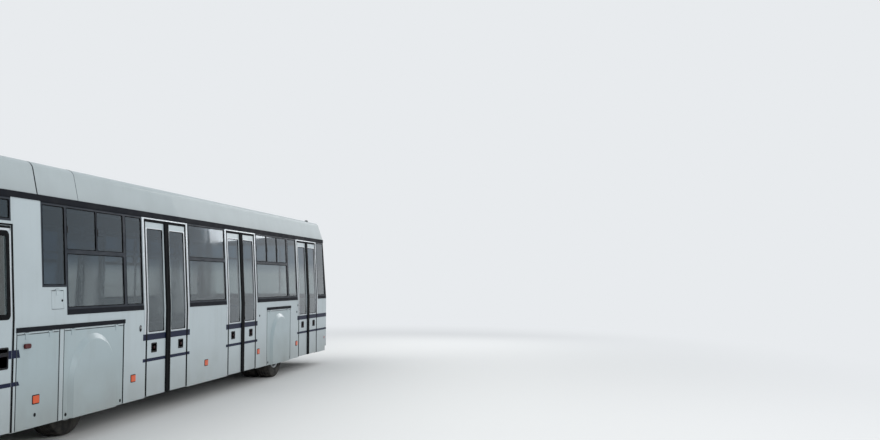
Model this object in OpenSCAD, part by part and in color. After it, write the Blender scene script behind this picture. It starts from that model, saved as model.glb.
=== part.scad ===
// Airport passenger bus, all lengths in millimetres
// +X points forward, +Y to the left and +Z up, with the origin on the ground below the middle

/* [Body] */
// Overall length
body_l = 13800; // [13400:100:14600]
// Width over the flat lower walls
body_w = 3000; // [2900:20:3100]
// Height of the roof crown above the ground
roof_z = 3150; // [3100:10:3250]
// Height of the skirt's lower edge
skirt_z = 280; // [260:10:300]
// Height where the upper walls start to lean in
belt_z = 1437; // [1420:1:1460]
// Inward lean of the upper walls in degrees
wall_lean = 3; // [2:0.5:4]
// Lower edge of the gutter strip
gutter_z = 2680; // [2660:10:2700]
// Height of the gutter strip
gutter_h = 65; // [50:5:80]
// Inward lean of the roof cover's sides in degrees
cover_lean = 12; // [8:1:16]
// Radius of the roof's shoulders
shoulder_r = 110; // [80:5:140]
// Rise of the roof crown above its shoulders
crown_rise = 40; // [30:5:60]
// Thickness of the side walls
wall_t = 45; // [40:1:55]
// Thickness of the roof and of the end caps
shell_t = 40; // [30:1:50]

/* [Ends] */
// Plan radius of the front face
front_r = 7000; // [6000:500:9000]
// Plan radius of the rear face
rear_r = 12000; // [10000:500:15000]
// Radius of the front corners
front_corner_r = 190; // [150:10:220]
// Radius of the rear corners
rear_corner_r = 90; // [70:5:120]
// Height where the windscreen starts to lean back
screen_z = 1180; // [1150:10:1250]
// Backward lean of the windscreen in degrees
screen_lean = 8; // [6:1:10]
// Radius of the brow above the windscreen
brow_r = 260; // [220:10:300]
// Radius of the roof's rear edge
tail_r = 120; // [100:10:160]
// Setback of the rear face at the gutter
rear_setback = 110; // [90:5:130]
// Depth of the front cap behind the front face
front_cap_d = 400; // [380:10:430]
// Depth of the rear cap ahead of the rear face
rear_cap_d = 260; // [240:10:280]

/* [Doors] */
// Distance of the rear door's centre from the rear end
door_a = 1645; // [1645:5:1700]
// Distance of the middle door's centre from the rear end
door_b = 5680; // [5600:10:5760]
// Distance of the third door's centre from the front end
door_c = 5065; // [5040:5:5120]
// Width of a pair of door leaves
leaf_pair_w = 1350; // [1300:10:1370]
// Top of the door leaves
leaf_top_z = 2613; // [2580:1:2620]
// Thickness of a door leaf
leaf_t = 40; // [34:1:42]
// Width of the rubber edge on each leaf
edge_rubber_w = 69; // [50:1:80]
// Width of the seal round each door
seal_w = 24; // [18:1:28]
// Width of the silver door frames
portal_w = 50; // [40:1:55]
// Width of the frame left round a leaf's glass
leaf_rim = 45; // [35:1:60]
// Lower edge of the door glass
leaf_glass_z = 1135; // [1120:5:1200]

/* [Windows] */
// Height of the sill strip
sill_h = 60; // [50:5:70]
// Width of the frames round the side windows
pane_rim = 24; // [18:1:30]
// Height of the sliding sashes' lower bar
transom_z = 2150; // [2100:10:2200]
// Thickness of the window glass
glass_t = 8; // [6:1:10]
// Sill height of the narrow window
narrow_z = 1750; // [1700:10:1800]

/* [Cab] */
// Distance of the cab door's front edge from the front end
cab_door_front = 480; // [460:10:520]
// Width of the cab door
cab_door_w = 790; // [740:10:800]
// Top of the cab door
cab_door_top = 2380; // [2340:10:2400]
// Height of the cab floor
cab_floor_z = 825; // [800:5:860]
// Thickness of the cab doors and flaps
door_t = 38; // [32:1:42]
// Radius of the steering wheel
steering_r = 230; // [210:10:250]

/* [Flaps] */
// Height of the flaps' hinge line
hinge_z = 1270; // [1250:5:1280]
// Thickness of a flap
flap_t = 24; // [20:1:30]
// Height of the embossed wheel arch above the flap
boss_h = 40; // [30:1:50]
// Radius of the embossed wheel arch at its foot
boss_r = 575; // [560:5:590]
// Sheet thickness of the embossed arch
boss_t = 14; // [10:1:18]
// Height of the arch's centre
boss_z = 630; // [620:5:640]
// Width of the front service flap
service_flap_w = 820; // [780:10:840]

/* [Running gear] */
// Distance of the front axle from the front end
front_overhang = 2960; // [2940:10:3000]
// Distance of the rear axle from the rear end
rear_overhang = 3610; // [3590:10:3640]
// Outer radius of the tyres
tyre_r = 480; // [470:5:490]
// Width of a tyre
tyre_w = 280; // [270:5:290]
// Radius of the rim seats
rim_r = 286; // [280:1:290]
// Distance from the kingpins out to the front wheels' centres
kingpin_inset = 130; // [125:5:140]
// Distance from the front wheels' centres out to the body's side
front_track_inset = 440; // [430:5:450]
// Distance from the rear twin wheels' centres out to the body's side
rear_track_inset = 370; // [360:5:380]
// Spacing of the twin wheels
twin_gap = 310; // [300:5:320]
// Length of the steering arms
steer_arm_l = 150; // [140:5:170]

/* [Interior] */
// Top of the low passenger floor
floor_z = 365; // [360:5:380]
// Thickness of the floor plates
floor_t = 25; // [20:1:30]
// Top of the raised front floor
podium_z = 1050; // [1040:5:1070]
// Distance of the grab poles from the middle
pole_y = 620; // [600:10:640]
// Radius of the grab poles
pole_r = 17; // [15:1:20]
// Height of the ceiling
ceiling_z = 2690; // [2680:5:2700]
// Width of a passenger seat
seat_w = 440; // [420:10:460]

/* [Hidden] */

$fn = 64;
big = 4000;
half_l = body_l / 2;
half_w = body_w / 2;
cover_z = gutter_z + gutter_h;
fit = 0.3;
play = 5;
reveal = 6;
sill_z = belt_z + sill_h;
glazing_top = gutter_z - 10;
band_z = 1113;
front_track_y = half_w - front_track_inset;
kingpin_y = front_track_y - kingpin_inset;
rear_track_y = half_w - rear_track_inset;

// Stations along the body
rear_x = -half_l;
front_axle_x = half_l - front_overhang;
rear_axle_x = rear_x + rear_overhang;
door_front_x = half_l - cab_door_front;
door_rear_x = door_front_x - cab_door_w;
front_split_x = half_l - front_cap_d;
rear_split_x = rear_x + rear_cap_d;
opening_w = leaf_pair_w + 2 * seal_w;
door_xs = [rear_x + door_a, rear_x + door_b, half_l - door_c];
bay_gap = opening_w / 2 + portal_w + 20;
saloon_front_x = front_axle_x + 615;
podium_x = door_xs[2] + opening_w / 2 + 300;
partition_x = front_axle_x + 1210;
roof_seam_x = front_axle_x + 1165;
roof_joint_w = 24;
mirror_x = front_split_x + 60;

// Flaps on each side, columns: rear edge, front edge
wheel_flap_front = [front_axle_x - 760, front_axle_x + 670];
wheel_flap_rear = [rear_axle_x - 690, rear_axle_x + 750];
service_flap = [door_rear_x - 90 - service_flap_w, door_rear_x - 90];
flap_spans = [wheel_flap_rear, wheel_flap_front, service_flap];

// Hinge proportions
pin_r = 4;
eye_r = 8;
eye_l = 60;
pin_out = 4;
pin_clear = 0.05;
panel_drop = eye_r + play;

// Side windows, columns: rear edge, front edge, sill height
windows = [
  [rear_split_x + 10, door_xs[0] - bay_gap, sill_z],
  [door_xs[0] + bay_gap, door_xs[1] - bay_gap, sill_z],
  [door_xs[1] + bay_gap, door_xs[2] - bay_gap, sill_z],
  [door_xs[2] + bay_gap, saloon_front_x, sill_z],
  [saloon_front_x, partition_x - 90, narrow_z],
  [door_rear_x, door_front_x, cab_door_top + 50]];

// Panes are rectangles, columns: rear edge, front edge, lower edge, upper edge
function fixed_pane(x0, x1, z0) =
  [[x0 + pane_rim, x1 - pane_rim, z0 + pane_rim, glazing_top - pane_rim]];
function sash_panes(x0, x1, z0, n) = let (w = (x1 - x0 - pane_rim) / n) concat(
  [[x0 + pane_rim, x1 - pane_rim, z0 + pane_rim, transom_z - pane_rim]],
  [for (i = [0:n - 1]) [x0 + pane_rim + i * w, x0 + (i + 1) * w,
    transom_z + pane_rim, glazing_top - pane_rim]]);
panes = concat(
  fixed_pane(windows[0][0], windows[0][1], sill_z),
  fixed_pane(windows[1][0], windows[1][0] + 600, sill_z),
  sash_panes(windows[1][0] + 640, windows[1][1], sill_z, 3),
  sash_panes(windows[2][0], windows[2][1], sill_z, 1),
  fixed_pane(windows[3][0], windows[3][0] + 500, sill_z),
  sash_panes(windows[3][0] + 520, windows[3][1], sill_z, 2),
  fixed_pane(windows[4][0], windows[4][1], narrow_z),
  fixed_pane(windows[5][0], windows[5][1], windows[5][2]));

white = [0.82, 0.86, 0.88];
silver = [0.66, 0.68, 0.70];
black = [0.05, 0.05, 0.06];
tint = [0.16, 0.19, 0.22, 0.6];

// Half width of the body at a height, at a depth t behind the outer face
function side_y(z, t = 0) =
  half_w - t - (z > belt_z ? (min(z, cover_z) - belt_z) * tan(wall_lean) : 0)
  - (z > cover_z ? (z - cover_z) * tan(cover_lean) : 0);

// The roof's shoulder circle lies inside the crown circle and the cover's side
crown_r = (pow(side_y(cover_z) - 100, 2) + pow(crown_rise, 2)) / (2 * crown_rise);
crown_c = roof_z - crown_r;
cover_n = [cos(cover_lean), sin(cover_lean)];
shoulder_0 = [side_y(cover_z), cover_z - crown_c] - shoulder_r * cover_n;
shoulder_b = -shoulder_0[0] * sin(cover_lean) + shoulder_0[1] * cos(cover_lean);
shoulder_k = -shoulder_b
  + sqrt(pow(shoulder_b, 2) - pow(norm(shoulder_0), 2) + pow(crown_r - shoulder_r, 2));
shoulder_rel = shoulder_0 + shoulder_k * [-sin(cover_lean), cos(cover_lean)];
shoulder_c = shoulder_rel + [0, crown_c];
shoulder_u = shoulder_rel / norm(shoulder_rel);

// Profiles of the ends, columns: height, setback
front_rows = [[0, 0], [screen_z, 0], [roof_z + 100, (roof_z + 100 - screen_z) * tan(screen_lean)]];
rear_rows = [[0, 0], [belt_z, 0], [cover_z, rear_setback],
  [roof_z + 100, rear_setback + (roof_z + 100 - cover_z) * 0.45]];

module along_x(x0, x1) {
  translate([x0, 0, 0]) rotate([90, 0, 90]) linear_extrude(x1 - x0) children();
}

module along_y(y0, y1) {
  translate([0, y1, 0]) rotate([90, 0, 0]) linear_extrude(y1 - y0) children();
}

module both_sides() {
  children();
  mirror([0, 1, 0]) children();
}

// Rectangle with rounded corners
module rounded(x0, y0, x1, y1, r) {
  translate([x0 + r, y0]) square([x1 - x0 - 2 * r, y1 - y0]);
  translate([x0, y0 + r]) square([x1 - x0, y1 - y0 - 2 * r]);
  for (x = [x0 + r, x1 - r], y = [y0 + r, y1 - r]) translate([x, y]) circle(r);
}

// Slice of the left wall that follows its vertical foot and its leaning upper part
module wall_slab(x0, x1, z0, z1, t0, t1) {
  outer = concat([[side_y(z0, t0), z0]], z0 < belt_z && z1 > belt_z ? [[side_y(belt_z, t0), belt_z]] : [],
    [[side_y(z1, t0), z1]]);
  inner = concat([[side_y(z1, t1), z1]], z0 < belt_z && z1 > belt_z ? [[side_y(belt_z, t1), belt_z]] : [],
    [[side_y(z0, t1), z0]]);
  along_x(x0, x1) polygon(concat(outer, inner));
}

// Block that cuts through the left wall
module wall_cut(x0, x1, z0, z1) {
  translate([x0, half_w / 2, z0]) cube([x1 - x0, half_w, z1 - z0]);
}

// Cross-section of the body at a depth t behind its outer face
module section(t) {
  k = t * cos(cover_lean);
  foot = shoulder_c + (shoulder_r - k) * cover_n;
  top = shoulder_c + (shoulder_r - k) * shoulder_u;
  half = [[side_y(0, t), 0], [side_y(belt_z, t), belt_z], [side_y(cover_z, t), cover_z], foot, top];
  polygon(concat(half, [for (i = [4:-1:0]) [-half[i][0], half[i][1]]]));
  for (k1 = [-1, 1]) translate([k1 * shoulder_c[0], shoulder_c[1]]) circle(shoulder_r - k + 0.1, $fn = 128);
  intersection() {
    translate([0, crown_c]) circle(crown_r - k, $fn = 240);
    translate([-top[0], top[1] - 100]) square([2 * top[0], 200]);
  }
}

// What an end's curved face cuts away, turned about a vertical line inside the body
module end_cut(face_r, rows, edge_r, t) {
  last = rows[len(rows) - 1];
  prev = rows[len(rows) - 2];
  lean = atan2(last[1] - prev[1], last[0] - prev[0]);
  k = t * cos(lean);
  cz = roof_z - edge_r + 1.5;
  cr = face_r - (last[1] + (cz - last[0]) * tan(lean)) - edge_r / cos(lean);
  rim = edge_r - k;
  line = [for (i = [0:len(rows) - 2]) [face_r - rows[i][1] - t, i == 0 ? -big : rows[i][0]]];
  translate([half_l - face_r, 0, 0]) rotate([0, 0, -22.5]) rotate_extrude(angle = 45, $fn = 240)
    difference() {
      polygon(concat(line, [[cr + rim * cos(lean), cz + rim * sin(lean)], [cr, cz + rim], [cr, big],
        [face_r + big / 4, big], [face_r + big / 4, -big]]));
      translate([cr, cz]) circle(rim + 0.1);
    }
}

// Corner point of an end at a height
function corner_at(face_r, rows, z) = let (y = side_y(z), r = face_r - lookup(z, rows))
  [half_l - face_r + sqrt(r * r - y * y), y];

// Rounds the upright edge between an end's face and the left wall
module corner_cut(face_r, rows, r, t) {
  zs = [for (z = [skirt_z - 300, screen_z, belt_z, cover_z, roof_z + 60]) z];
  for (i = [0:len(zs) - 2]) {
    p0 = corner_at(face_r, rows, zs[i]);
    p1 = corner_at(face_r, rows, zs[i + 1]);
    h = zs[i + 1] - zs[i];
    turn = asin(p0[1] / (face_r - lookup(zs[i], rows)));
    n = [cos(turn), sin(turn)];
    c = [-r * (1 - sin(turn)) / cos(turn), -r];
    ri = r - t;
    translate([p0[0], p0[1], zs[i]])
      rotate([atan2(p0[1] - p1[1], h), 0, 0]) rotate([0, -atan2(p0[0] - p1[0], h), 0])
        translate([0, 0, -12]) linear_extrude(h + 24) difference() {
          polygon([c + [0, ri], c + [0, ri + 300], c + [500, ri + 300], c + (ri + 400) * n, c + ri * n]);
          translate(c) circle(ri + 0.3, $fn = 128);
        }
  }
}

// Rounded end of the body from x0 forward, at a depth t behind its outer face
module end_block(front, t, x0) {
  face_r = front ? front_r : rear_r;
  rows = front ? front_rows : rear_rows;
  difference() {
    along_x(x0, half_l + 50) section(t);
    end_cut(face_r, rows, front ? brow_r : tail_r, t);
    both_sides() corner_cut(face_r, rows, front ? front_corner_r : rear_corner_r, t);
  }
}

// Shell of an end between two depths and two heights
module end_shell(front, t0, t1, x0, z0, z1) {
  intersection() {
    difference() {
      end_block(front, t0, x0);
      end_block(front, t1, x0 - 10);
    }
    translate([x0, -half_w - 50, z0]) cube([body_l, body_w + 100, z1 - z0]);
  }
}

module at_rear() {
  mirror([1, 0, 0]) children();
}

// Hinge along X seen from the left, with its panel below and its pin on the axis
module hinge_at(x) {
  translate([x, half_w + pin_out, hinge_z]) children();
}

module door_hinge_at(z) {
  translate([door_front_x + panel_drop, half_w + pin_out, z]) rotate([0, 90, 0]) children();
}

module hinge_eye() {
  difference() {
    union() {
      translate([-eye_l / 2, 0, 0]) rotate([0, 90, 0]) cylinder(r = eye_r, h = eye_l);
      translate([-eye_l / 2, -pin_out, -60]) cube([eye_l, 4, 60]);
    }
    translate([-eye_l, 0, 0]) rotate([0, 90, 0]) cylinder(r = pin_r + pin_clear, h = 2 * eye_l);
  }
}

module hinge_barrels() {
  translate([-eye_l / 2 - 16, 0, 0]) rotate([0, 90, 0]) cylinder(r = pin_r, h = eye_l + 32);
  for (k = [-1, 1]) translate([k * (eye_l / 2 + 1 + 10) - 10, 0, 0])
    rotate([0, 90, 0]) cylinder(r = eye_r, h = 20);
}

module hinge_notch() {
  translate([-eye_l / 2 - 1, -panel_drop, -30]) cube([eye_l + 2, 40, 30 + panel_drop]);
}

function flap_hinges(span) = [span[0] + 180, span[1] - 180];
door_hinges = [480, 1250];

module side_wall() {
  difference() {
    union() {
      difference() {
        wall_slab(rear_split_x, front_split_x, skirt_z, cover_z, 0, wall_t);
        for (x = door_xs) {
          wall_cut(x - opening_w / 2, x + opening_w / 2, skirt_z - 50, leaf_top_z + seal_w);
          wall_cut(x - opening_w / 2 - portal_w, x + opening_w / 2 + portal_w, band_z, glazing_top);
        }
        for (w = windows) wall_cut(w[0], w[1], w[2], glazing_top);
        for (s = flap_spans) wall_cut(s[0], s[1], skirt_z - 50, hinge_z - 4);
        wall_cut(door_rear_x, door_front_x + panel_drop - 4, skirt_z - 50, cab_door_top);
        for (s = flap_spans, x = flap_hinges(s)) hinge_at(x) hinge_notch();
        for (z = door_hinges) door_hinge_at(z) hinge_notch();
      }
      for (s = flap_spans, x = flap_hinges(s)) hinge_at(x) hinge_barrels();
      for (z = door_hinges) door_hinge_at(z) hinge_barrels();
    }
    translate([rear_split_x - 1, half_w / 2, skirt_z - 1]) rotate([0, 8, 0])
      translate([0, 0, -200]) cube([700, half_w, 200]);
  }
}

module side_wall_left() {
  color(white) {
    difference() {
      side_wall();
      wall_cut(filler[0], filler[1], filler[2], filler[3] - 4);
      filler_hinge() hinge_notch();
    }
    filler_hinge() hinge_barrels();
    wall_slab(filler[0] - 10, filler[1] + 10, filler[2] - 10, filler[3] + 20, wall_t - 6, wall_t);
  }
}

module side_wall_right() {
  color(white) mirror([0, 1, 0]) side_wall();
}

// Filler flap beside the narrow window, columns: rear edge, front edge, lower edge, hinge line
filler = [saloon_front_x + 70, saloon_front_x + 325, 1505, 1718];

// Hinge along X on the leaning wall, in the middle of the filler flap
module filler_hinge() {
  translate([(filler[0] + filler[1]) / 2, side_y(filler[3]), filler[3]]) rotate([wall_lean, 0, 0])
    translate([0, pin_out, 0]) children();
}

module filler_flap() {
  color(white) {
    wall_slab(filler[0] + play, filler[1] - play, filler[2] + play, filler[3] - panel_drop, 0, flap_t);
    filler_hinge() hinge_eye();
  }
}

module roof_cover(t) {
  intersection() {
    section(t);
    translate([-big, cover_z]) square([2 * big, big]);
  }
}

module roof_shell() {
  color([0.86, 0.88, 0.88]) {
    difference() {
      along_x(rear_x + 600, roof_seam_x) roof_cover(0);
      along_x(rear_x + 500, half_l) section(shell_t);
    }
    at_rear() end_shell(false, 0, shell_t, half_l - 600, cover_z, roof_z + 50);
  }
}

module roof_nose() {
  color([0.86, 0.88, 0.88]) end_shell(true, 0, shell_t, roof_seam_x + roof_joint_w, cover_z, roof_z + 50);
}

module ceiling() {
  y0 = side_y(ceiling_z, wall_t + fit);
  y1 = side_y(ceiling_z + 15, wall_t + fit);
  color([0.85, 0.85, 0.83]) along_x(rear_split_x, front_split_x)
    polygon([[-y0, ceiling_z], [y0, ceiling_z], [y1, ceiling_z + 15], [-y1, ceiling_z + 15]]);
}

bumper_top = 560;
screen_w = half_w - 210;
screen_top = 2640;

// Number plate holders on the ends, columns: width, height, z of the lower edge
front_plate = [540, 130, 580];
rear_plate = [540, 130, 900];
plate_out = 10;
plate_sunk = 3;

// Flat block behind a number plate, with a shallow pocket for the plate
module plate_holder(plate, d) {
  translate([half_l - 30, -plate[0] / 2 + d, plate[2] + d])
    cube([30 + plate_out + (d > 0 ? 10 : 0), plate[0] - 2 * d, plate[1] - 2 * d]);
}

module plate_pocket(plate) {
  translate([plate_out + 30 - plate_sunk, 0, 0]) plate_holder(plate, 8);
}

// Cooling air opening in the front cap, columns: half width, lower edge, upper edge
intake = [548, 740, 980];
slats = 5;

module front_cap() {
  color(white) difference() {
    union() {
      end_shell(true, 0, shell_t, front_split_x, bumper_top + reveal, gutter_z);
      plate_holder(front_plate, 0);
    }
    plate_pocket(front_plate);
    along_x(half_l - 200, half_l + 100) rounded(-intake[0], intake[1], intake[0], intake[2], 30);
    along_x(front_split_x + 20, half_l + 100) rounded(-screen_w, screen_z + 20, screen_w, screen_top, 80);
    both_sides() lamp_at(true, head_lamp, -200, 200, 0);
  }
}

// Slats that follow the front face, held by three uprights
module front_grille() {
  pitch = (intake[2] - intake[1]) / slats;
  color(black) intersection() {
    end_shell(true, 8, 26, front_split_x, intake[1] - 20, intake[2] + 20);
    along_x(half_l - 200, half_l + 50) intersection() {
      rounded(-intake[0] + fit, intake[1] + fit, intake[0] - fit, intake[2] - fit, 30);
      union() {
        difference() {
          translate([-intake[0], intake[1]]) square([2 * intake[0], intake[2] - intake[1]]);
          translate([-intake[0] + 20, intake[1] + 16])
            square([2 * intake[0] - 40, intake[2] - intake[1] - 32]);
        }
        for (i = [1:slats - 1]) translate([-intake[0], intake[1] + i * pitch - 9])
          square([2 * intake[0], 18]);
        for (k = [-1:1]) translate([k * intake[0] / 2 - 10, intake[1]])
          square([20, intake[2] - intake[1]]);
      }
    }
  }
}

module windscreen() {
  color(tint) intersection() {
    end_shell(true, 4, 4 + glass_t, front_split_x, screen_z - 50, cover_z - fit);
    along_x(front_split_x + 20, half_l + 100)
      rounded(-screen_w + fit, screen_z + 20 + fit, screen_w - fit, screen_top - fit, 80);
  }
}

// Lamps on the ends, columns: y of the centre, z of the centre, width, height, corner radius
head_lamp = [half_w - 355, 720, 370, 160, 40];
tail_lamp = [half_w - 285, 900, 150, 440, 30];

// Place on an end's lower face, with X pointing out of it
module face_place(face_r, y, z) {
  translate([half_l - face_r, 0, z]) rotate([0, 0, asin(y / face_r)]) translate([face_r, 0, 0]) children();
}

module lamp_body(lamp, x0, x1, inset) {
  along_x(x0, x1)
    rounded(-lamp[2] / 2 + inset, -lamp[3] / 2 + inset, lamp[2] / 2 - inset, lamp[3] / 2 - inset, lamp[4]);
}

module lamp_at(front, lamp, x0, x1, inset) {
  face_place(front ? front_r : rear_r, lamp[0], lamp[1]) lamp_body(lamp, x0, x1, inset);
}

module headlamps() {
  color([0.9, 0.92, 0.95]) both_sides() lamp_at(true, head_lamp, -shell_t, 2, fit);
}

module tail_lamps() {
  color([0.7, 0.08, 0.06]) at_rear() both_sides() lamp_at(false, tail_lamp, -shell_t, 4, fit);
}

rear_glass = [half_w - 260, sill_z + 30, screen_top];

module rear_cap() {
  color(white) at_rear() difference() {
    union() {
      end_shell(false, 0, shell_t, half_l - rear_cap_d, bumper_top + reveal, belt_z);
      plate_holder(rear_plate, 0);
    }
    plate_pocket(rear_plate);
    both_sides() lamp_at(false, tail_lamp, -200, 200, 0);
  }
}

// Dark frame round the rear window, wrapped over the corners
module rear_frame() {
  color(black) at_rear() difference() {
    end_shell(false, 0, shell_t, half_l - rear_cap_d, belt_z, cover_z);
    along_x(half_l - 500, half_l + 100)
      rounded(-rear_glass[0], rear_glass[1], rear_glass[0], rear_glass[2], 60);
  }
}

module rear_window() {
  color(tint) at_rear() intersection() {
    end_shell(false, 4, 4 + glass_t, half_l - rear_cap_d - 100, sill_z, gutter_z);
    along_x(half_l - 500, half_l + 100)
      rounded(-rear_glass[0] + fit, rear_glass[1] + fit, rear_glass[0] - fit, rear_glass[2] - fit, 60);
  }
}

module end_glass() {
  windscreen();
  rear_window();
}

module bumpers() {
  color([0.75, 0.79, 0.81]) {
    difference() {
      end_shell(true, 0, shell_t, front_split_x, skirt_z, bumper_top);
      along_x(half_l - 200, half_l + 50) rounded(-90, skirt_z - 100, 90, tow_z + 50, 30);
    }
    at_rear() end_shell(false, 0, shell_t, half_l - rear_cap_d, skirt_z + 100, bumper_top);
  }
}

module window_frames() {
  color(black) both_sides() difference() {
    for (w = windows) wall_slab(w[0], w[1], w[2], glazing_top, -3, 30);
    for (p = panes) wall_cut(p[0], p[1], p[2], p[3]);
  }
}

module side_glass() {
  color(tint) both_sides() {
    for (p = panes) wall_slab(p[0], p[1], p[2], p[3], 4, 4 + glass_t);
    for (x = door_xs, k = [-1, 1]) leaf_glass(x, k);
  }
}

// Edges of one leaf, from its centre rubber outwards
function leaf_span(x, k) = k > 0
  ? [x + edge_rubber_w + 0.5, x + leaf_pair_w / 2]
  : [x - leaf_pair_w / 2, x - edge_rubber_w - 0.5];

module leaf_glass(x, k) {
  s = leaf_span(x, k);
  wall_slab(s[0] + leaf_rim, s[1] - leaf_rim, leaf_glass_z, leaf_top_z - 90, 8, 8 + glass_t);
}

module door_leaves() {
  for (x = door_xs, k = [-1, 1]) {
    s = leaf_span(x, k);
    difference() {
      wall_slab(s[0], s[1], skirt_z + 10, leaf_top_z, 2, 2 + leaf_t);
      wall_cut(s[0] + leaf_rim, s[1] - leaf_rim, leaf_glass_z, leaf_top_z - 90);
    }
  }
}

module door_leaves_left() {
  color(white) door_leaves();
}

module door_leaves_right() {
  color(white) mirror([0, 1, 0]) door_leaves();
}

module door_portals() {
  color(silver) both_sides() for (x = door_xs) difference() {
    wall_slab(x - opening_w / 2 - portal_w, x + opening_w / 2 + portal_w, band_z, glazing_top, -4, wall_t);
    wall_cut(x - opening_w / 2, x + opening_w / 2, band_z - 10, leaf_top_z + seal_w);
  }
}

module door_rubbers() {
  color(black) both_sides() for (x = door_xs) {
    difference() {
      wall_slab(x - opening_w / 2, x + opening_w / 2, skirt_z + 10, leaf_top_z + seal_w, 4, 38);
      wall_cut(x - leaf_pair_w / 2, x + leaf_pair_w / 2, skirt_z, leaf_top_z);
    }
    for (k = [-1, 1]) wall_slab(min(x + k * 0.5, x + k * (edge_rubber_w + 0.5)),
      max(x + k * 0.5, x + k * (edge_rubber_w + 0.5)), skirt_z + 10, leaf_top_z, 0, 38);
  }
}

module rubber_strips() {
  color(black) both_sides() {
    wall_slab(rear_split_x, front_split_x, gutter_z, cover_z, -10, 0);
    for (i = [0:3]) wall_slab(windows[i][0] - (i == 0 ? 10 : 0), windows[i][1], belt_z, sill_z, -6, 0);
    for (s = [wheel_flap_rear, [wheel_flap_front[0], service_flap[1]]])
      wall_slab(s[0] - 40, s[1] + 20, hinge_z + 15, hinge_z + 65, -8, 0);
  }
  color(black) difference() {
    along_x(roof_seam_x, roof_seam_x + roof_joint_w) roof_cover(3);
    along_x(roof_seam_x - 10, half_l) section(shell_t);
  }
  color(black) end_shell(true, 0, shell_t, front_split_x, gutter_z, cover_z);
}

module driver_door() {
  difference() {
    union() {
      wall_slab(door_rear_x + play, door_front_x, skirt_z + 10, cab_door_top - play, 0, door_t);
      for (z = door_hinges) door_hinge_at(z) hinge_eye();
    }
    wall_cut(door_rear_x + 85, door_front_x - 75, belt_z, cab_door_top - 85);
  }
}

module driver_door_glass() {
  wall_slab(door_rear_x + 85, door_front_x - 75, belt_z, cab_door_top - 85, 8, 8 + glass_t);
}

module driver_door_left() {
  color(white) driver_door();
}

module driver_door_right() {
  color(white) mirror([0, 1, 0]) driver_door();
}

module driver_door_glass_left() {
  color(tint) driver_door_glass();
}

module driver_door_glass_right() {
  color(tint) mirror([0, 1, 0]) driver_door_glass();
}

// Raised wheel arch on a flap, grown by g
module arch_boss(x, r, h, foot) {
  intersection() {
    union() {
      translate([x, half_w, boss_z]) rotate([-90, 0, 0]) cylinder(r1 = r, r2 = r - 1.6 * boss_h, h = h);
      translate([0, 0, foot]) linear_extrude(boss_z - foot) polygon([[x - r, half_w], [x + r, half_w],
        [x + r - 1.6 * boss_h, half_w + h], [x - r + 1.6 * boss_h, half_w + h]]);
    }
    translate([x - r, half_w - 1, foot]) cube([2 * r, h + 1, boss_z + r]);
  }
}

module flap(span, arch_x) {
  difference() {
    union() {
      translate([span[0] + play, half_w - flap_t, skirt_z])
        cube([span[1] - span[0] - 2 * play, flap_t, hinge_z - panel_drop - skirt_z]);
      for (x = flap_hinges(span)) hinge_at(x) hinge_eye();
      if (arch_x != undef) arch_boss(arch_x, boss_r, boss_h, skirt_z);
    }
    if (arch_x != undef)
      translate([0, -boss_t, 0]) arch_boss(arch_x, boss_r - boss_t, boss_h, skirt_z - 20);
    if (arch_x != undef) translate([0, -flap_t - 1, 0])
      along_y(half_w, half_w + flap_t - boss_t + 2) intersection() {
        union() {
          translate([arch_x, boss_z]) circle(boss_r - boss_t, $fn = 128);
          translate([arch_x - boss_r + boss_t, skirt_z - 20])
            square([2 * (boss_r - boss_t), boss_z - skirt_z + 20]);
        }
        translate([arch_x - boss_r, skirt_z - 20]) square([2 * boss_r, 1200]);
      }
  }
}

module front_service_flap_left() {
  color(white) flap(service_flap, undef);
}

module front_service_flap_right() {
  color(white) mirror([0, 1, 0]) flap(service_flap, undef);
}

module front_wheel_flap_left() {
  color(white) flap(wheel_flap_front, front_axle_x);
}

module front_wheel_flap_right() {
  color(white) mirror([0, 1, 0]) flap(wheel_flap_front, front_axle_x);
}

module rear_wheel_flap_left() {
  color(white) flap(wheel_flap_rear, rear_axle_x);
}

module rear_wheel_flap_right() {
  color(white) mirror([0, 1, 0]) flap(wheel_flap_rear, rear_axle_x);
}

// Running gear
hub_z = tyre_r;
rail_y = 400;
rail_w = 80;
low_rail = [220, floor_z - floor_t];
high_rail = [560, 700];
rise_x = podium_x + floor_t;
wheelhouse_y = rear_track_y - 490;
liner_y = half_w - 170;
inner_w = half_w - wall_t;

pivot_x = rear_axle_x + 780;
pivot_z = 275;
pivot_r = 30;
arm_y = [rear_track_y - 430, rear_track_y - 345];
spindle_r = 35;

module rail(x0, x1, z) {
  both_sides() translate([x0, rail_y - rail_w / 2, z[0]]) cube([x1 - x0, rail_w, z[1] - z[0]]);
}

module cross_beam(x, w, z, y) {
  translate([x - w / 2, -y, z[0]]) cube([w, 2 * y, z[1] - z[0]]);
}

// Cross-beams below the low floor, the last three at shares of the way from the middle door to the rise
low_beams = concat([rear_x + 700, door_xs[0], rear_axle_x - 1010, rear_axle_x + 950, door_xs[1]],
  [for (share = [0.3, 0.55, 0.85]) door_xs[1] + share * (podium_x - door_xs[1])]);
low_beam = [skirt_z + 5, floor_z - floor_t];
engine_x = front_axle_x + 130;
engine_l = 900;
tow_r = 22;
tow_z = 400;
jack_y = inner_w - 555;
jack_r = 50;
jack_h = 12;

module tow_eye() {
  difference() {
    union() {
      translate([0, 0, -20]) cylinder(r = 60, h = 40);
      translate([-200, -60, -20]) cube([200, 120, 40]);
    }
    translate([0, 0, -30]) cylinder(r = tow_r, h = 60);
  }
}

steel = [0.16, 0.17, 0.18];

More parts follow.
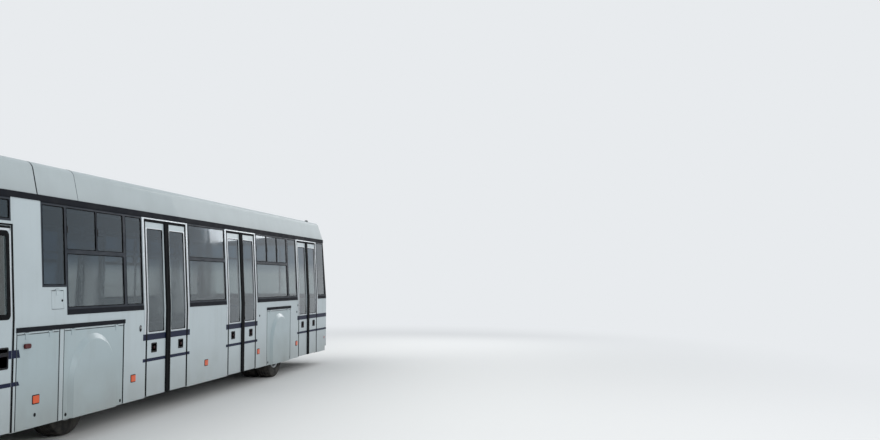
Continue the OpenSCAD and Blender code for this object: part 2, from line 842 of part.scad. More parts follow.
module chassis_frame() {
  color(steel) {
    difference() {
      rail(rear_x + 250, rise_x + 160, low_rail);
      translate([pivot_x, -half_w, pivot_z]) rotate([-90, 0, 0]) cylinder(r = pivot_r + fit, h = body_w);
    }
    for (x = low_beams) cross_beam(x, 80, low_beam, inner_w);
    cross_beam(rear_x + 200, 100, low_rail, inner_w - 200);
    translate([rear_x + 120, 0, low_rail[1] - 40]) mirror([1, 0, 0]) tow_eye();
  }
}

// Raised front part of the frame, standing on the ends of the low rails
module front_frame() {
  color(steel) {
    rail(rise_x, front_split_x + 250, high_rail);
    rail(rise_x, rise_x + 160, [low_rail[1], high_rail[1]]);
    cross_beam(rise_x + 80, 120, high_rail, inner_w);
    cross_beam(engine_x + engine_l + 60, 100, high_rail, inner_w);
    cross_beam(front_split_x - 60, 100, high_rail, inner_w);
    cross_beam(front_split_x + 200, 100, high_rail, head_lamp[0] - head_lamp[2] / 2 - 40);
    translate([front_split_x + 170, -100, tow_z - 40]) cube([80, 200, high_rail[0] - tow_z + 60]);
    translate([front_split_x + 340, 0, tow_z]) tow_eye();
    both_sides() translate([engine_x + engine_l + 60, jack_y, high_rail[0] - jack_h])
      cylinder(r = jack_r, h = jack_h + 1);
  }
}

module floor_deck() {
  color([0.35, 0.36, 0.38]) difference() {
    union() {
      translate([rear_split_x, -inner_w, floor_z - floor_t])
        cube([podium_x - rear_split_x, 2 * inner_w, floor_t]);
      both_sides() wheelhouse(0);
    }
    both_sides() wheelhouse(15);
  }
}

// Box over the rear wheels, hollowed by the depth t
module wheelhouse(t) {
  x0 = wheel_flap_rear[0] - 20 + t;
  x1 = wheel_flap_rear[1] + 20 - t;
  y0 = wheelhouse_y + t;
  y1 = inner_w + (t > 0 ? 1 : 0);
  z0 = t > 0 ? floor_z - 100 : floor_z - floor_t;
  z1 = hub_z + tyre_r + 70 - t;
  z2 = hinge_z + 20 - t;
  along_x(x0, x1) polygon([[y0, z0], [y1, z0], [y1, z2], [liner_y + t, z2], [liner_y + t, z1], [y0, z1]]);
}

step_going = 250;
aisle_w = 900;

module front_podium() {
  top = podium_z;
  color([0.35, 0.36, 0.38]) {
    along_y(-inner_w, inner_w) polygon([[podium_x, floor_z - floor_t],
      [podium_x + floor_t, floor_z - floor_t], [podium_x + floor_t, top - floor_t],
      [partition_x, top - floor_t], [partition_x, top], [podium_x, top]]);
    along_y(-inner_w + 15, inner_w - 15) polygon([[partition_x, cab_floor_z - floor_t],
      [front_split_x, cab_floor_z - floor_t], [front_split_x, cab_floor_z],
      [partition_x + floor_t, cab_floor_z], [partition_x + floor_t, top], [partition_x, top]]);
    for (i = [1:2]) translate([podium_x - step_going * (3 - i), -aisle_w / 2, floor_z])
      cube([step_going, aisle_w, i * (top - floor_z) / 3]);
    both_sides() {
      translate([podium_x + floor_t, 530, high_rail[1]])
        cube([partition_x - podium_x - floor_t, 20, top - floor_t - high_rail[1]]);
      liner();
    }
  }
}

// Boxed liner behind the front flaps, above the floors
module liner() {
  x0 = wheel_flap_front[0] - 30;
  x1 = service_flap[1] + 30;
  difference() {
    translate([x0, liner_y, podium_z]) cube([x1 - x0, inner_w - liner_y, hinge_z + 20 - podium_z]);
    translate([x0 + 15, liner_y + 15, podium_z - 10])
      cube([x1 - x0 - 30, inner_w, hinge_z + 15 - podium_z]);
  }
}

// Front axle with reversed-Elliot ends
beam_z = [330, 420];
pin_z = 120;
drop_y = kingpin_y - 330;

module front_axle() {
  color([0.2, 0.2, 0.21]) translate([front_axle_x, 0, 0]) {
    translate([-45, -drop_y, beam_z[0]]) cube([90, 2 * drop_y, beam_z[1] - beam_z[0]]);
    both_sides() {
      along_x(-45, 45) polygon([[drop_y - 10, beam_z[0]], [drop_y, beam_z[0]],
        [kingpin_y - 110, hub_z - 55], [kingpin_y, hub_z - 55], [kingpin_y, hub_z + 55],
        [kingpin_y - 130, hub_z + 55], [drop_y - 10, beam_z[1]]]);
      translate([0, kingpin_y, hub_z - 60]) cylinder(r = 45, h = 120);
      translate([0, kingpin_y, hub_z - pin_z]) cylinder(r = 22, h = 2 * pin_z);
    }
  }
}

module knuckle() {
  translate([front_axle_x, kingpin_y, hub_z]) {
    difference() {
      union() {
        for (z = [-pin_z, 65]) {
          translate([0, 0, z]) cylinder(r = 45, h = pin_z - 65);
          translate([-45, 0, z]) cube([90, 85, pin_z - 65]);
        }
        translate([-45, 55, -pin_z]) cube([90, 30, 2 * pin_z]);
        translate([-steer_arm_l, -22, -pin_z]) cube([steer_arm_l, 44, 25]);
        translate([-steer_arm_l, 0, -pin_z]) cylinder(r = 22, h = 25);
      }
      translate([0, 0, -pin_z - 1]) cylinder(r = 22 + pin_clear, h = 2 * pin_z + 2);
    }
    translate([-steer_arm_l, 0, -pin_z - 40]) cylinder(r = 10, h = 41);
    translate([0, 84, 0]) rotate([-90, 0, 0])
      cylinder(r = spindle_r, h = front_track_y + 60 - kingpin_y - 84);
  }
}

module knuckle_left() {
  color(silver) knuckle();
}

module knuckle_right() {
  color(silver) mirror([0, 1, 0]) knuckle();
}

module tie_rod() {
  z = hub_z - pin_z - 20;
  color([0.2, 0.2, 0.21]) translate([front_axle_x - steer_arm_l, 0, z]) difference() {
    union() {
      rotate([90, 0, 0]) translate([0, 0, -kingpin_y + 15]) cylinder(r = 14, h = 2 * kingpin_y - 30);
      for (k = [-1, 1]) translate([0, k * kingpin_y, -15]) cylinder(r = 26, h = 30);
    }
    translate([0, kingpin_y, -20]) cylinder(r = 10 + pin_clear, h = 40);
    translate([0, -kingpin_y, -20]) cylinder(r = 12, h = 40);
  }
}

module rear_trailing_arms() {
  color([0.2, 0.2, 0.21]) {
    both_sides() {
      along_y(arm_y[0], arm_y[1]) {
        polygon([[rear_axle_x, hub_z + 90], [rear_axle_x - 480, hub_z + 30],
          [rear_axle_x - 480, hub_z - 40], [rear_axle_x, hub_z - 90],
          [pivot_x, pivot_z - 50], [pivot_x, pivot_z + 50]]);
        translate([rear_axle_x, hub_z]) circle(90);
        translate([pivot_x, pivot_z]) circle(50);
      }
      translate([rear_axle_x, arm_y[1] - 1, hub_z]) rotate([-90, 0, 0])
        cylinder(r = spindle_r, h = rear_track_y + twin_gap / 2 - arm_y[1] + 60);
    }
    translate([pivot_x, -arm_y[0] - 1, pivot_z]) rotate([-90, 0, 0])
      cylinder(r = pivot_r, h = 2 * arm_y[0] + 2);
  }
}

module air_springs() {
  color(black) both_sides() {
    translate([front_axle_x, rail_y, beam_z[1]]) cylinder(r = 100, h = high_rail[0] - beam_z[1]);
    translate([rear_axle_x - 400, (arm_y[0] + arm_y[1]) / 2, hub_z + 60])
      cylinder(r = 60, h = tyre_r + 70 - 15 - 60);
  }
}

// Tyre section turned about its axle, centred on z = 0
module tyre() {
  // Half of the section, columns: radius, distance in from the side wall
  half = [[rim_r + 100, 0], [tyre_r - 55, 6], [tyre_r - 14, 22], [tyre_r - 3, 40]];
  foot = [[rim_r, 100], [rim_r + 22, 104], [rim_r + 60, tyre_w / 2 - 8]];
  rotate_extrude($fn = 96) polygon(concat([for (p = foot) [p[0], -p[1]]],
    [for (p = half) [p[0], p[1] - tyre_w / 2]], [[tyre_r, 0]],
    [for (i = [3:-1:0]) [half[i][0], tyre_w / 2 - half[i][1]]],
    [for (i = [2:-1:0]) foot[i]]));
}

module barrel() {
  rotate_extrude($fn = 96)
    polygon([[rim_r - 16, -100], [rim_r - fit, -100], [rim_r - fit, 100], [rim_r - 16, 100]]);
  for (k = [-1, 1]) rotate_extrude($fn = 96) polygon([[rim_r - 16, k * 95], [rim_r - fit, k * 95],
    [rim_r - fit, k * 101], [rim_r + 16, k * 108], [rim_r + 16, k * 114], [rim_r - 16, k * 112]]);
}

module hub_disc(z, t) {
  difference() {
    translate([0, 0, z]) cylinder(r = rim_r - 10, h = t);
    for (a = [0:45:315]) rotate([0, 0, a]) translate([205, 0, z - 1]) cylinder(r = 26, h = t + 2);
  }
}

module front_rim() {
  difference() {
    union() {
      barrel();
      hub_disc(30, 16);
      translate([0, 0, -30]) cylinder(r = 85, h = 130);
    }
    translate([0, 0, -60]) cylinder(r = spindle_r + pin_clear, h = 121);
  }
}

module rear_rims() {
  difference() {
    union() {
      for (k = [-1, 1]) translate([0, 0, k * twin_gap / 2]) barrel();
      hub_disc(twin_gap / 2 - 90, 16);
      mirror([0, 0, 1]) hub_disc(twin_gap / 2 - 90, 16);
      translate([0, 0, -twin_gap / 2 - 60]) cylinder(r = 95, h = twin_gap + 140);
    }
    translate([0, 0, -big / 2]) cylinder(r = spindle_r + pin_clear, h = big / 2 + twin_gap / 2 + 62);
  }
}

module front_wheel_place() {
  translate([front_axle_x, front_track_y, hub_z]) rotate([-90, 0, 0]) children();
}

module rear_wheel_place() {
  translate([rear_axle_x, rear_track_y, hub_z]) rotate([-90, 0, 0]) children();
}

module front_left_tyre() {
  color(black) front_wheel_place() tyre();
}

module front_right_tyre() {
  color(black) mirror([0, 1, 0]) front_wheel_place() tyre();
}

module rear_left_tyres() {
  color(black) rear_wheel_place() for (k = [-1, 1]) translate([0, 0, k * twin_gap / 2]) tyre();
}

module rear_right_tyres() {
  color(black) mirror([0, 1, 0])
    rear_wheel_place() for (k = [-1, 1]) translate([0, 0, k * twin_gap / 2]) tyre();
}

module front_left_rim() {
  color(silver) front_wheel_place() front_rim();
}

module front_right_rim() {
  color(silver) mirror([0, 1, 0]) front_wheel_place() front_rim();
}

module rear_left_rims() {
  color(silver) rear_wheel_place() rear_rims();
}

module rear_right_rims() {
  color(silver) mirror([0, 1, 0]) rear_wheel_place() rear_rims();
}

module engine_block() {
  y = rail_y - rail_w / 2;
  color([0.25, 0.25, 0.26]) translate([engine_x, -y, 480]) cube([engine_l, 2 * y, 500]);
}

tank_x = (low_beams[6] + low_beams[5]) / 2 - 100;

module fuel_tank() {
  color(steel) along_x(tank_x, tank_x + 200)
    rounded(rail_y + rail_w / 2 + 60, low_rail[0] + 10, half_w - 200, low_rail[1], 30);
}

module side_markers() {
  color([0.95, 0.4, 0.08]) both_sides()
    for (x = [door_xs[0] + leaf_pair_w / 2 + 158, door_xs[1] - leaf_pair_w / 2 - 158,
      (door_xs[1] + door_xs[2]) / 2 + 90, door_xs[2] + leaf_pair_w / 2 + 378])
      translate([x - 60, half_w, 530]) cube([120, 8, 80]);
}

mirror_z = 2350;

module mirrors() {
  color(black) both_sides() {
    difference() {
      translate([mirror_x, half_w - 300, mirror_z]) rotate([-90, 0, 0]) cylinder(r = 16, h = 500);
      end_block(true, -fit, front_split_x);
    }
    translate([mirror_x, half_w + 200, mirror_z]) sphere(r = 20);
    translate([mirror_x, half_w + 200, mirror_z - 550]) cylinder(r = 16, h = 550);
    translate([mirror_x - 50, half_w + 105, mirror_z - 500]) cube([80, 190, 380]);
  }
}

module cab_partition() {
  y0 = liner_y;
  z0 = podium_z;
  color([0.6, 0.62, 0.64]) along_x(partition_x - 30, partition_x) difference() {
    polygon([[-y0, z0], [y0, z0], [y0, hinge_z + 20], [inner_w, hinge_z + 20], [inner_w, belt_z],
      [side_y(ceiling_z, wall_t), ceiling_z], [-side_y(ceiling_z, wall_t), ceiling_z], [-inner_w, belt_z],
      [-inner_w, hinge_z + 20], [-y0, hinge_z + 20]]);
    translate([-half_w + 350, podium_z + 600]) square([half_w, 850]);
  }
}

hatch_l = 800;
hatch_w = 600;
hatch_h = 32;

module roof_hatches() {
  foot = [for (k = [-1:0.5:1]) [k * hatch_w / 2,
    crown_c + sqrt(pow(crown_r + fit, 2) - pow(k * hatch_w / 2, 2))]];
  color([0.7, 0.72, 0.73]) for (x = [rear_axle_x, door_xs[2]])
    along_x(x - hatch_l / 2, x + hatch_l / 2)
      polygon(concat(foot, [[hatch_w / 2, roof_z + hatch_h], [-hatch_w / 2, roof_z + hatch_h]]));
}

// Shell seat facing +X, centred on y = 0
module seat() {
  along_y(-seat_w / 2, seat_w / 2) {
    polygon([[0, 430], [430, 450], [430, 490], [40, 470], [-40, 900], [-80, 895]]);
    translate([430, 470]) circle(20);
    translate([-60, 897]) circle(20);
  }
  translate([60, -150, 0]) cube([300, 300, 445]);
}

module passenger_seats() {
  color([0.12, 0.22, 0.42]) {
    for (k = [-1.5:1.5]) translate([rear_split_x + 100, k * (seat_w + 60), floor_z]) seat();
    for (k = [-1, 1]) translate([partition_x - 150, k * (half_w - 500), podium_z]) mirror([1, 0, 0]) seat();
  }
}

// Grab poles beside the doors
pole_gap = 800;
pole_xs = [door_xs[0] - pole_gap, door_xs[0] + pole_gap, door_xs[1] - pole_gap, door_xs[1] + pole_gap,
  door_xs[2] - pole_gap, door_xs[2] + pole_gap];
top_rail_z = 2250;

module grab_rails() {
  color(silver) both_sides() {
    for (x = pole_xs) translate([x, pole_y, floor_z]) cylinder(r = pole_r, h = ceiling_z - floor_z);
    translate([pole_xs[0], pole_y, top_rail_z]) rotate([0, 90, 0])
      cylinder(r = pole_r, h = pole_xs[5] - pole_xs[0]);
  }
}

seat_x = partition_x + 550;
seat_y = half_w - 850;

module driver_seat() {
  color([0.12, 0.13, 0.15]) translate([seat_x - 250, seat_y, cab_floor_z]) {
    along_y(-250, 250) {
      polygon([[0, 400], [480, 430], [480, 520], [60, 500], [-60, 1150], [-160, 1140]]);
      translate([480, 475]) circle(45);
      translate([-110, 1145]) circle(50);
    }
    translate([100, -160, 0]) cube([300, 320, 410]);
  }
}

dash_x = front_split_x - 20;

module dashboard() {
  color([0.1, 0.1, 0.11]) {
    along_y(-half_w + 250, half_w - 250) polygon([[dash_x, cab_floor_z], [dash_x + 20, cab_floor_z],
      [dash_x + 20, screen_z - 40], [dash_x + 180, screen_z - 40], [dash_x + 180, screen_z],
      [dash_x - 60, screen_z - 10], [dash_x - 60, screen_z - 150]]);
    translate([dash_x - 40, seat_y, screen_z - 120]) rotate([0, -60, 0]) cylinder(r = 35, h = 150);
  }
}

module steering_wheel() {
  color(black) translate([dash_x - 40, seat_y, screen_z - 120]) rotate([0, -60, 0])
    translate([0, 0, 150 + fit]) {
    rotate_extrude($fn = 96) translate([steering_r, 20]) circle(14);
    cylinder(r = 50, h = 30);
    for (a = [0:120:240]) rotate([0, 0, a]) translate([0, -15, 12]) cube([steering_r, 30, 14]);
  }
}

chassis_frame();
front_frame();
floor_deck();
front_podium();
side_wall_left();
side_wall_right();
roof_shell();
roof_nose();
ceiling();
front_cap();
rear_cap();
rear_frame();
bumpers();
end_glass();
window_frames();
side_glass();
door_portals();
door_leaves_left();
door_leaves_right();
door_rubbers();
rubber_strips();
driver_door_left();
driver_door_right();
driver_door_glass_left();
driver_door_glass_right();
front_service_flap_left();
front_service_flap_right();
front_wheel_flap_left();
front_wheel_flap_right();
rear_wheel_flap_left();
rear_wheel_flap_right();
filler_flap();
front_axle();
knuckle_left();
knuckle_right();
tie_rod();
rear_trailing_arms();
air_springs();
front_left_tyre();
front_right_tyre();
rear_left_tyres();
rear_right_tyres();
front_left_rim();
front_right_rim();
rear_left_rims();
rear_right_rims();
engine_block();
fuel_tank();
front_grille();
headlamps();
tail_lamps();
side_markers();
mirrors();
cab_partition();
roof_hatches();
passenger_seats();
grab_rails();
driver_seat();
dashboard();
steering_wheel();
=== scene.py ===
# %% [markdown]
# # An airport passenger bus
# The bus stands still on its wheels, as it does beside a stand on the apron. Its body, doors, flaps, axles and
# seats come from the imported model. This lesson gives them their finishes and adds what is too thin or too
# fine for the model: bands, seals, locks, lamps, tyre tread, wipers, cushions and cab controls.

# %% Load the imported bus
import bmesh
import bpy
import math
import numpy as np
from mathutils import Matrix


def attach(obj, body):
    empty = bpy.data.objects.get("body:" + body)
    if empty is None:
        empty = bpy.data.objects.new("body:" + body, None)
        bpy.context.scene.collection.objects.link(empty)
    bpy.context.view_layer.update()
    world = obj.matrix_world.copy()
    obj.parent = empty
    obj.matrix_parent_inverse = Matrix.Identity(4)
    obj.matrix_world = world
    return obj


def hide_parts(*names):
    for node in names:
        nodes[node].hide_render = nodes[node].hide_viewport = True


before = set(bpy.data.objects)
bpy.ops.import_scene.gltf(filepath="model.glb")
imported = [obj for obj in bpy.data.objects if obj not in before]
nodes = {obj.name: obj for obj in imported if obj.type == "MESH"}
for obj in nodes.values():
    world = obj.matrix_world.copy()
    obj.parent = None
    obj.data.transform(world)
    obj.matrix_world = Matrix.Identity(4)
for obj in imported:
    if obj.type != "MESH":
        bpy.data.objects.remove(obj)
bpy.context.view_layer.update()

# %% [markdown]
# ## The camera
# The lens stands seven metres to the left of the bus's line and eight ahead of its nose, 1.8 m above ground.
# The lines of gutter and skirt meet right of the middle of the picture, so the lens looks almost along the
# bus, turned by eight degrees, and tips up a little.

# %% Camera
EYE = np.array([14.93, 7.22, 1.81])
TURN, TIP = math.radians(8.21), math.radians(3.58)
lens = bpy.data.cameras.new("apron_camera")
lens.lens, lens.sensor_width, lens.clip_end = 40.26, 36, 400
viewer = bpy.data.objects.new("apron_camera", lens)
viewer.location = EYE
viewer.rotation_euler = (math.pi / 2 + TIP, 0, math.pi / 2 + TURN)
bpy.context.collection.objects.link(viewer)
bpy.context.scene.camera = viewer
print("lens of", lens.lens, "mm at", EYE)

# %% [markdown]
# ## Sizes
# The places of doors, flaps and windows are repeated here in metres, from the rear end forward, so that each
# seal and band finds its panel. The side wall is upright below the belt and leans in by three degrees above.

# %% Named places on the body
HALF_L, HALF_W = 6.9, 1.5
FRONT_R, REAR_R, SCREEN_FOOT = 7.0, 12.0, 1.18
BELT, SILL, GUTTER, COVER, CROWN = 1.437, 1.497, 2.68, 2.745, 3.15
LEAN, ROOF_LEAN = math.radians(3), math.radians(12)
DOORS = [-5.255, -1.22, 1.835]
OPENING, LEAF_PAIR, EDGE_RUBBER = 1.398, 1.35, 0.069
LEAF_FOOT, LEAF_TOP, LEAF_GLASS = 0.292, 2.613, (1.135, 2.523)
SALOON_FRONT, NARROW_FRONT = 4.555, 5.06
CAB_DOOR = (5.63, 6.42)
BROAD_BAND, THIN_BAND = (1.03, 1.113), (0.747, 0.79)
FRONT_AXLE, REAR_AXLE, HUB = 3.94, -3.29, 0.48
SIDES = [("left", 1), ("right", -1)]


def wall_y(z, depth=0.0):
    """Half width of the body at height z: upright to the belt, then less by the lean's tangent a metre."""
    z = np.asarray(z, float)
    up = np.clip(z, BELT, COVER) - BELT
    over = np.maximum(z - COVER, 0)
    return HALF_W - depth - up * math.tan(LEAN) - over * math.tan(ROOF_LEAN)


def leaf_span(door, k):
    """Edges of one door leaf, outwards from the rubber in the middle."""
    a, b = door + k * (EDGE_RUBBER + 0.0005), door + k * LEAF_PAIR / 2
    return min(a, b), max(a, b)


leaves = [(door, k) + leaf_span(door, k) for door in DOORS for k in (-1, 1)]
print("leaves on each side", len(leaves))

# %% [markdown]
# ## How a surface becomes a mesh
# Most pieces here are a grid of points: a closed outline carried along a path, or a profile turned about an
# axis. One helper joins a grid's neighbours into four-sided faces with whole arrays, another closes the ends.

# %% Grids and solids
def grid_faces(m, n, wrap_m=False, wrap_n=False):
    """Quads between the rows and columns of an m by n grid, joined round where it wraps."""
    i = np.arange(m if wrap_m else m - 1)[:, None]
    j = np.arange(n if wrap_n else n - 1)[None, :]
    i2, j2 = (i + 1) % m, (j + 1) % n
    return np.stack([i * n + j + 0 * i2, i2 * n + j, i2 * n + j2, i * n + j2 + 0 * i2], -1).reshape(-1, 4)


def swept(rings, closed=False):
    """Closed outlines, one row each, joined into a tube; its ends fan out from the middle of each end ring."""
    rings = np.asarray(rings, float)
    m, n, _ = rings.shape
    points = rings.reshape(-1, 3)
    faces = [grid_faces(m, n, closed, True)]
    if not closed:
        ends = np.stack([rings[0].mean(0), rings[-1].mean(0)])
        points = np.concatenate([points, ends])
        j = np.arange(n)
        j2 = (j + 1) % n
        faces.append(np.stack([0 * j + m * n, j, j2], -1))
        faces.append(np.stack([0 * j + m * n + 1, (m - 1) * n + j2, (m - 1) * n + j], -1))
    return points, faces


def round_turn(steps):
    """Even angles once round."""
    return np.arange(steps) * 2 * math.pi / steps


def turned(profile, centre, axis="y", steps=48, sign=1):
    """A closed profile of (radius, offset) turned about an axis: each point runs round a circle."""
    p = np.asarray(profile, float)
    a = round_turn(steps)[:, None]
    r, h = p[None, :, 0], p[None, :, 1] * sign
    u, v, w = r * np.cos(a), r * np.sin(a), h + 0 * a
    order = {"x": (w, u, v), "y": (u, w, v), "z": (u, v, w)}[axis]
    return swept(np.stack(order, -1) + np.asarray(centre, float), closed=True)


def piped(path, radius, sides=12, closed=False):
    """A round bar along a path: a circle stands square to the path's direction at each of its points."""
    p = np.asarray(path, float)
    step = np.roll(p, -1, 0) - np.roll(p, 1, 0)
    if not closed:
        step[0], step[-1] = p[1] - p[0], p[-1] - p[-2]
    t = step / np.linalg.norm(step, axis=1, keepdims=True)
    guide = np.array([0.0, 0.0, 1.0]) if abs(t[:, 2]).max() < 0.95 else np.array([0.3, 0.9, 0.2])
    if not closed and abs(t[:, 2]).min() < 0.5 < abs(t[:, 2]).max():
        guide = np.array([0.05, 1.0, 0.02]) if abs(t[:, 1]).max() < 0.9 else np.array([1.0, 0.05, 0.02])
    u = np.cross(t, guide)
    u /= np.linalg.norm(u, axis=1, keepdims=True)
    v = np.cross(t, u)
    a = round_turn(sides)[None, :, None]
    r = np.broadcast_to(np.asarray(radius, float), len(p))[:, None, None]
    ring = u[:, None] * np.cos(a) + v[:, None] * np.sin(a)
    return swept(p[:, None] + r * ring, closed=closed)


def corner_outline(x0, z0, x1, z1, r, n=6):
    """Rectangle with round corners, as points in order: a quarter circle of n steps at each corner."""
    a = np.linspace(0, math.pi / 2, n)
    corners = [(x1 - r, z1 - r), (x0 + r, z1 - r), (x0 + r, z0 + r), (x1 - r, z0 + r)]
    turns = [a + k * math.pi / 2 for k in range(4)]
    return np.concatenate([np.stack([cx + r * np.cos(t), cz + r * np.sin(t)], -1)
                           for (cx, cz), t in zip(corners, turns)])


def grown(box, by):
    """A rectangle grown on all sides, or drawn in where by is negative."""
    x0, z0, x1, z1 = box
    return x0 - by, z0 - by, x1 + by, z1 + by


def along(outline, x0, x1):
    """An outline given as (y, z), carried along the bus."""
    return swept([np.column_stack([np.full(len(outline), x), outline]) for x in (x0, x1)])


def flipped(part, side):
    """The same piece for the right side, with y turned round and the faces' order with it."""
    points, faces = part
    return (points, faces) if side > 0 else (points * [1, -1, 1], [f[:, ::-1] for f in faces])


# %% [markdown]
# ## From arrays to an object
# Parts that belong together share one object, so a side's fourteen pane seals are one piece. Outward faces
# matter to the finish, so the normals are recalculated, and edges sharper than forty degrees stay crisp.

# %% Make one object from many parts
def piece(name, parts, finish, body="coach", bevel=0.0, angle=40):
    """Joins the parts' points and faces, sets the faces outwards, shades by angle and rides the body."""
    points, faces, start = [], [], 0
    for p, f in parts:
        points.append(p)
        faces += [row for block in f for row in (block + start).tolist()]
        start += len(p)
    mesh = bpy.data.meshes.new(name)
    mesh.from_pydata(np.concatenate(points), [], faces)
    bm = bmesh.new()
    bm.from_mesh(mesh)
    bmesh.ops.recalc_face_normals(bm, faces=bm.faces)
    bm.to_mesh(mesh)
    bm.free()
    mesh.shade_smooth()
    mesh.set_sharp_from_angle(angle=math.radians(angle))
    thing = bpy.data.objects.new(name, mesh)
    bpy.context.collection.objects.link(thing)
    mesh.materials.append(finish)
    if bevel:
        edge = thing.modifiers.new("rounding", "BEVEL")
        edge.width, edge.segments, edge.limit_method = bevel, 2, "ANGLE"
    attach(thing, body)
    print(name, "has", len(faces), "faces and rides", body)
    return thing


def pair(name, parts, finish, body="coach", bevel=0.0, angle=40):
    """The same piece on both sides, as a list of side name and piece. Braces take the side's name."""
    name = name if "{}" in name else name + "_{}"
    return [(side_name, piece(name.format(side_name), [flipped(p, side) for p in parts], finish,
                              body.format(side_name), bevel, angle)) for side_name, side in SIDES]


def on_wall(xz, depth):
    """Places points given as (x, z) on the left wall, at a depth behind its outer face."""
    xz = np.asarray(xz, float)
    return np.stack([xz[..., 0], wall_y(xz[..., 1], depth), xz[..., 1]], -1)


def wall_plate(x0, z0, x1, z1, r, back, front):
    """Plate on the wall: its round-cornered outline at the back depth, then at the front depth."""
    o = corner_outline(x0, z0, x1, z1, r)
    return swept([on_wall(o, back), on_wall(o, front)])


def wall_bead(x0, z0, x1, z1, r, depth, thick):
    """Round bead that follows a rectangle on the wall."""
    return piped(on_wall(corner_outline(x0, z0, x1, z1, r), depth), thick, 8, closed=True)


def wall_ring(x0, z0, x1, z1, w, r, back, front):
    """Flat frame of even width w inside a rectangle on the wall."""
    wide = corner_outline(x0, z0, x1, z1, r)
    narrow = corner_outline(*grown((x0, z0, x1, z1), -w), max(r - w, 0.004))
    edges = [(wide, back), (wide, front), (narrow, front), (narrow, back)]
    return swept([on_wall(outline, depth) for outline, depth in edges], closed=True)


def upright(x0, x1, z0, z1, back, front, r=0.0006):
    """Strip that runs up the wall and bends with it at the belt; r rounds its edges."""
    x, out = corner_outline(min(x0, x1), back, max(x0, x1), front, r, 4).T
    heights = [z0, BELT, z1] if z0 < BELT < z1 else [z0, z1]
    return swept([np.column_stack([x, wall_y(z) + out, np.full(len(x), z)]) for z in heights])


# %% [markdown]
# ## Painted and weathered finishes
# A bus on an apron is dusty near the ground and streaked by rain below its gutter. The dust is a noise pattern
# mixed in by height, read from Object coordinates, so it stays on the panel however the part is turned. On the
# roof the same mix is painted shade, darker towards the gutter. Each finish is a small tree of nodes, and a
# class keeps the ways to add to it together.

# %% Colours
def linear(r, g, b):
    """A colour read off in 0 to 255, in the linear form that the shader wants."""
    c = np.array([r, g, b]) / 255
    return tuple(np.where(c < 0.04045, c / 12.92, ((c + 0.055) / 1.055) ** 2.4)) + (1.0,)


def shaded(colour, share):
    """The colour times a share: darker below one, paler above it."""
    return tuple(share * c for c in colour[:3]) + (1.0,)


print("mid grey is", linear(128, 128, 128)[0], "in the shader's terms")


# %% A tree of nodes
class Nodes:
    """The node tree of a finish or of the world, with short ways to add to it."""

    def __init__(self, owner):
        owner.use_nodes = True
        self.owner, self.tree = owner, owner.node_tree

    def put(self, socket, value):
        """Wires a value into a socket, or sets it where the value is fixed."""
        if isinstance(value, bpy.types.NodeSocket):
            self.tree.links.new(value, socket)
        else:
            socket.default_value = value

    def add(self, kind, *first, **named):
        """A new node: what its first inputs get, in order, then its settings and other inputs by name."""
        node = self.tree.nodes.new("ShaderNode" + kind)
        for socket, value in zip(node.inputs, first):
            self.put(socket, value)
        for key, value in named.items():
            if hasattr(node, key):
                setattr(node, key, value)
            else:
                self.put(node.inputs[key.replace("_", " ")], value)
        return node

    def joined(self, a, b, operation="MULTIPLY"):
        """Product of two values, or what another operation makes of them."""
        return self.add("Math", a, b, operation=operation).outputs[0]


# %% A finish and its patterns
class Finish(Nodes):
    """A new finish: its shader's values, and the patterns that vary them, read from Object coordinates."""

    def __init__(self, name, rgb, rough, metal=0.0, coat=0.0, gloss=0.5, **more):
        super().__init__(bpy.data.materials.new(name))
        self.shader = self.tree.nodes["Principled BSDF"]
        self.place = self.add("TexCoord").outputs["Object"]
        self.set(Base_Color=linear(*rgb), Roughness=rough, Metallic=metal, Coat_Weight=coat,
                 Specular_IOR_Level=gloss, **more)
        print("finish", name)

    def set(self, **values):
        """Sets or wires the shader's inputs."""
        for key, value in values.items():
            self.put(self.shader.inputs[key.replace("_", " ")], value)

    def noise(self, scale, detail=4.0, stretch=(1, 1, 1)):
        """Cloudy noise, drawn out by the stretch."""
        where = self.add("Mapping", self.place, Scale=stretch).outputs[0]
        return self.add("TexNoise", where, Scale=scale, Detail=detail).outputs["Fac"]

    def waves(self, direction, pitch, **more):
        """Even waves along one axis."""
        return self.add("TexWave", self.place, wave_type="BANDS", bands_direction=direction,
                        Scale=pitch, **more).outputs["Fac"]

    def ramp(self, source, low, high, a=0.0, b=1.0):
        """Turns a value between low and high into one between a and b."""
        return self.add("MapRange", source, low, high, a, b).outputs["Result"]

    def mixed(self, amount, a, b):
        """Mixes two colours by the amount; each may be a fixed colour or a wire."""
        node = self.add("Mix", data_type="RGBA")
        for socket, value in ((node.inputs[0], amount), (node.inputs[6], a), (node.inputs[7], b)):
            self.put(socket, value)
        return node.outputs[2]

    def roughen(self, height, strength, distance):
        """Bump from a height pattern."""
        bump = self.add("Bump", Strength=strength, Distance=distance, Height=height)
        self.set(Normal=bump.outputs[0])


# %% Weathered paint for panels
DUST = (128, 126, 118)


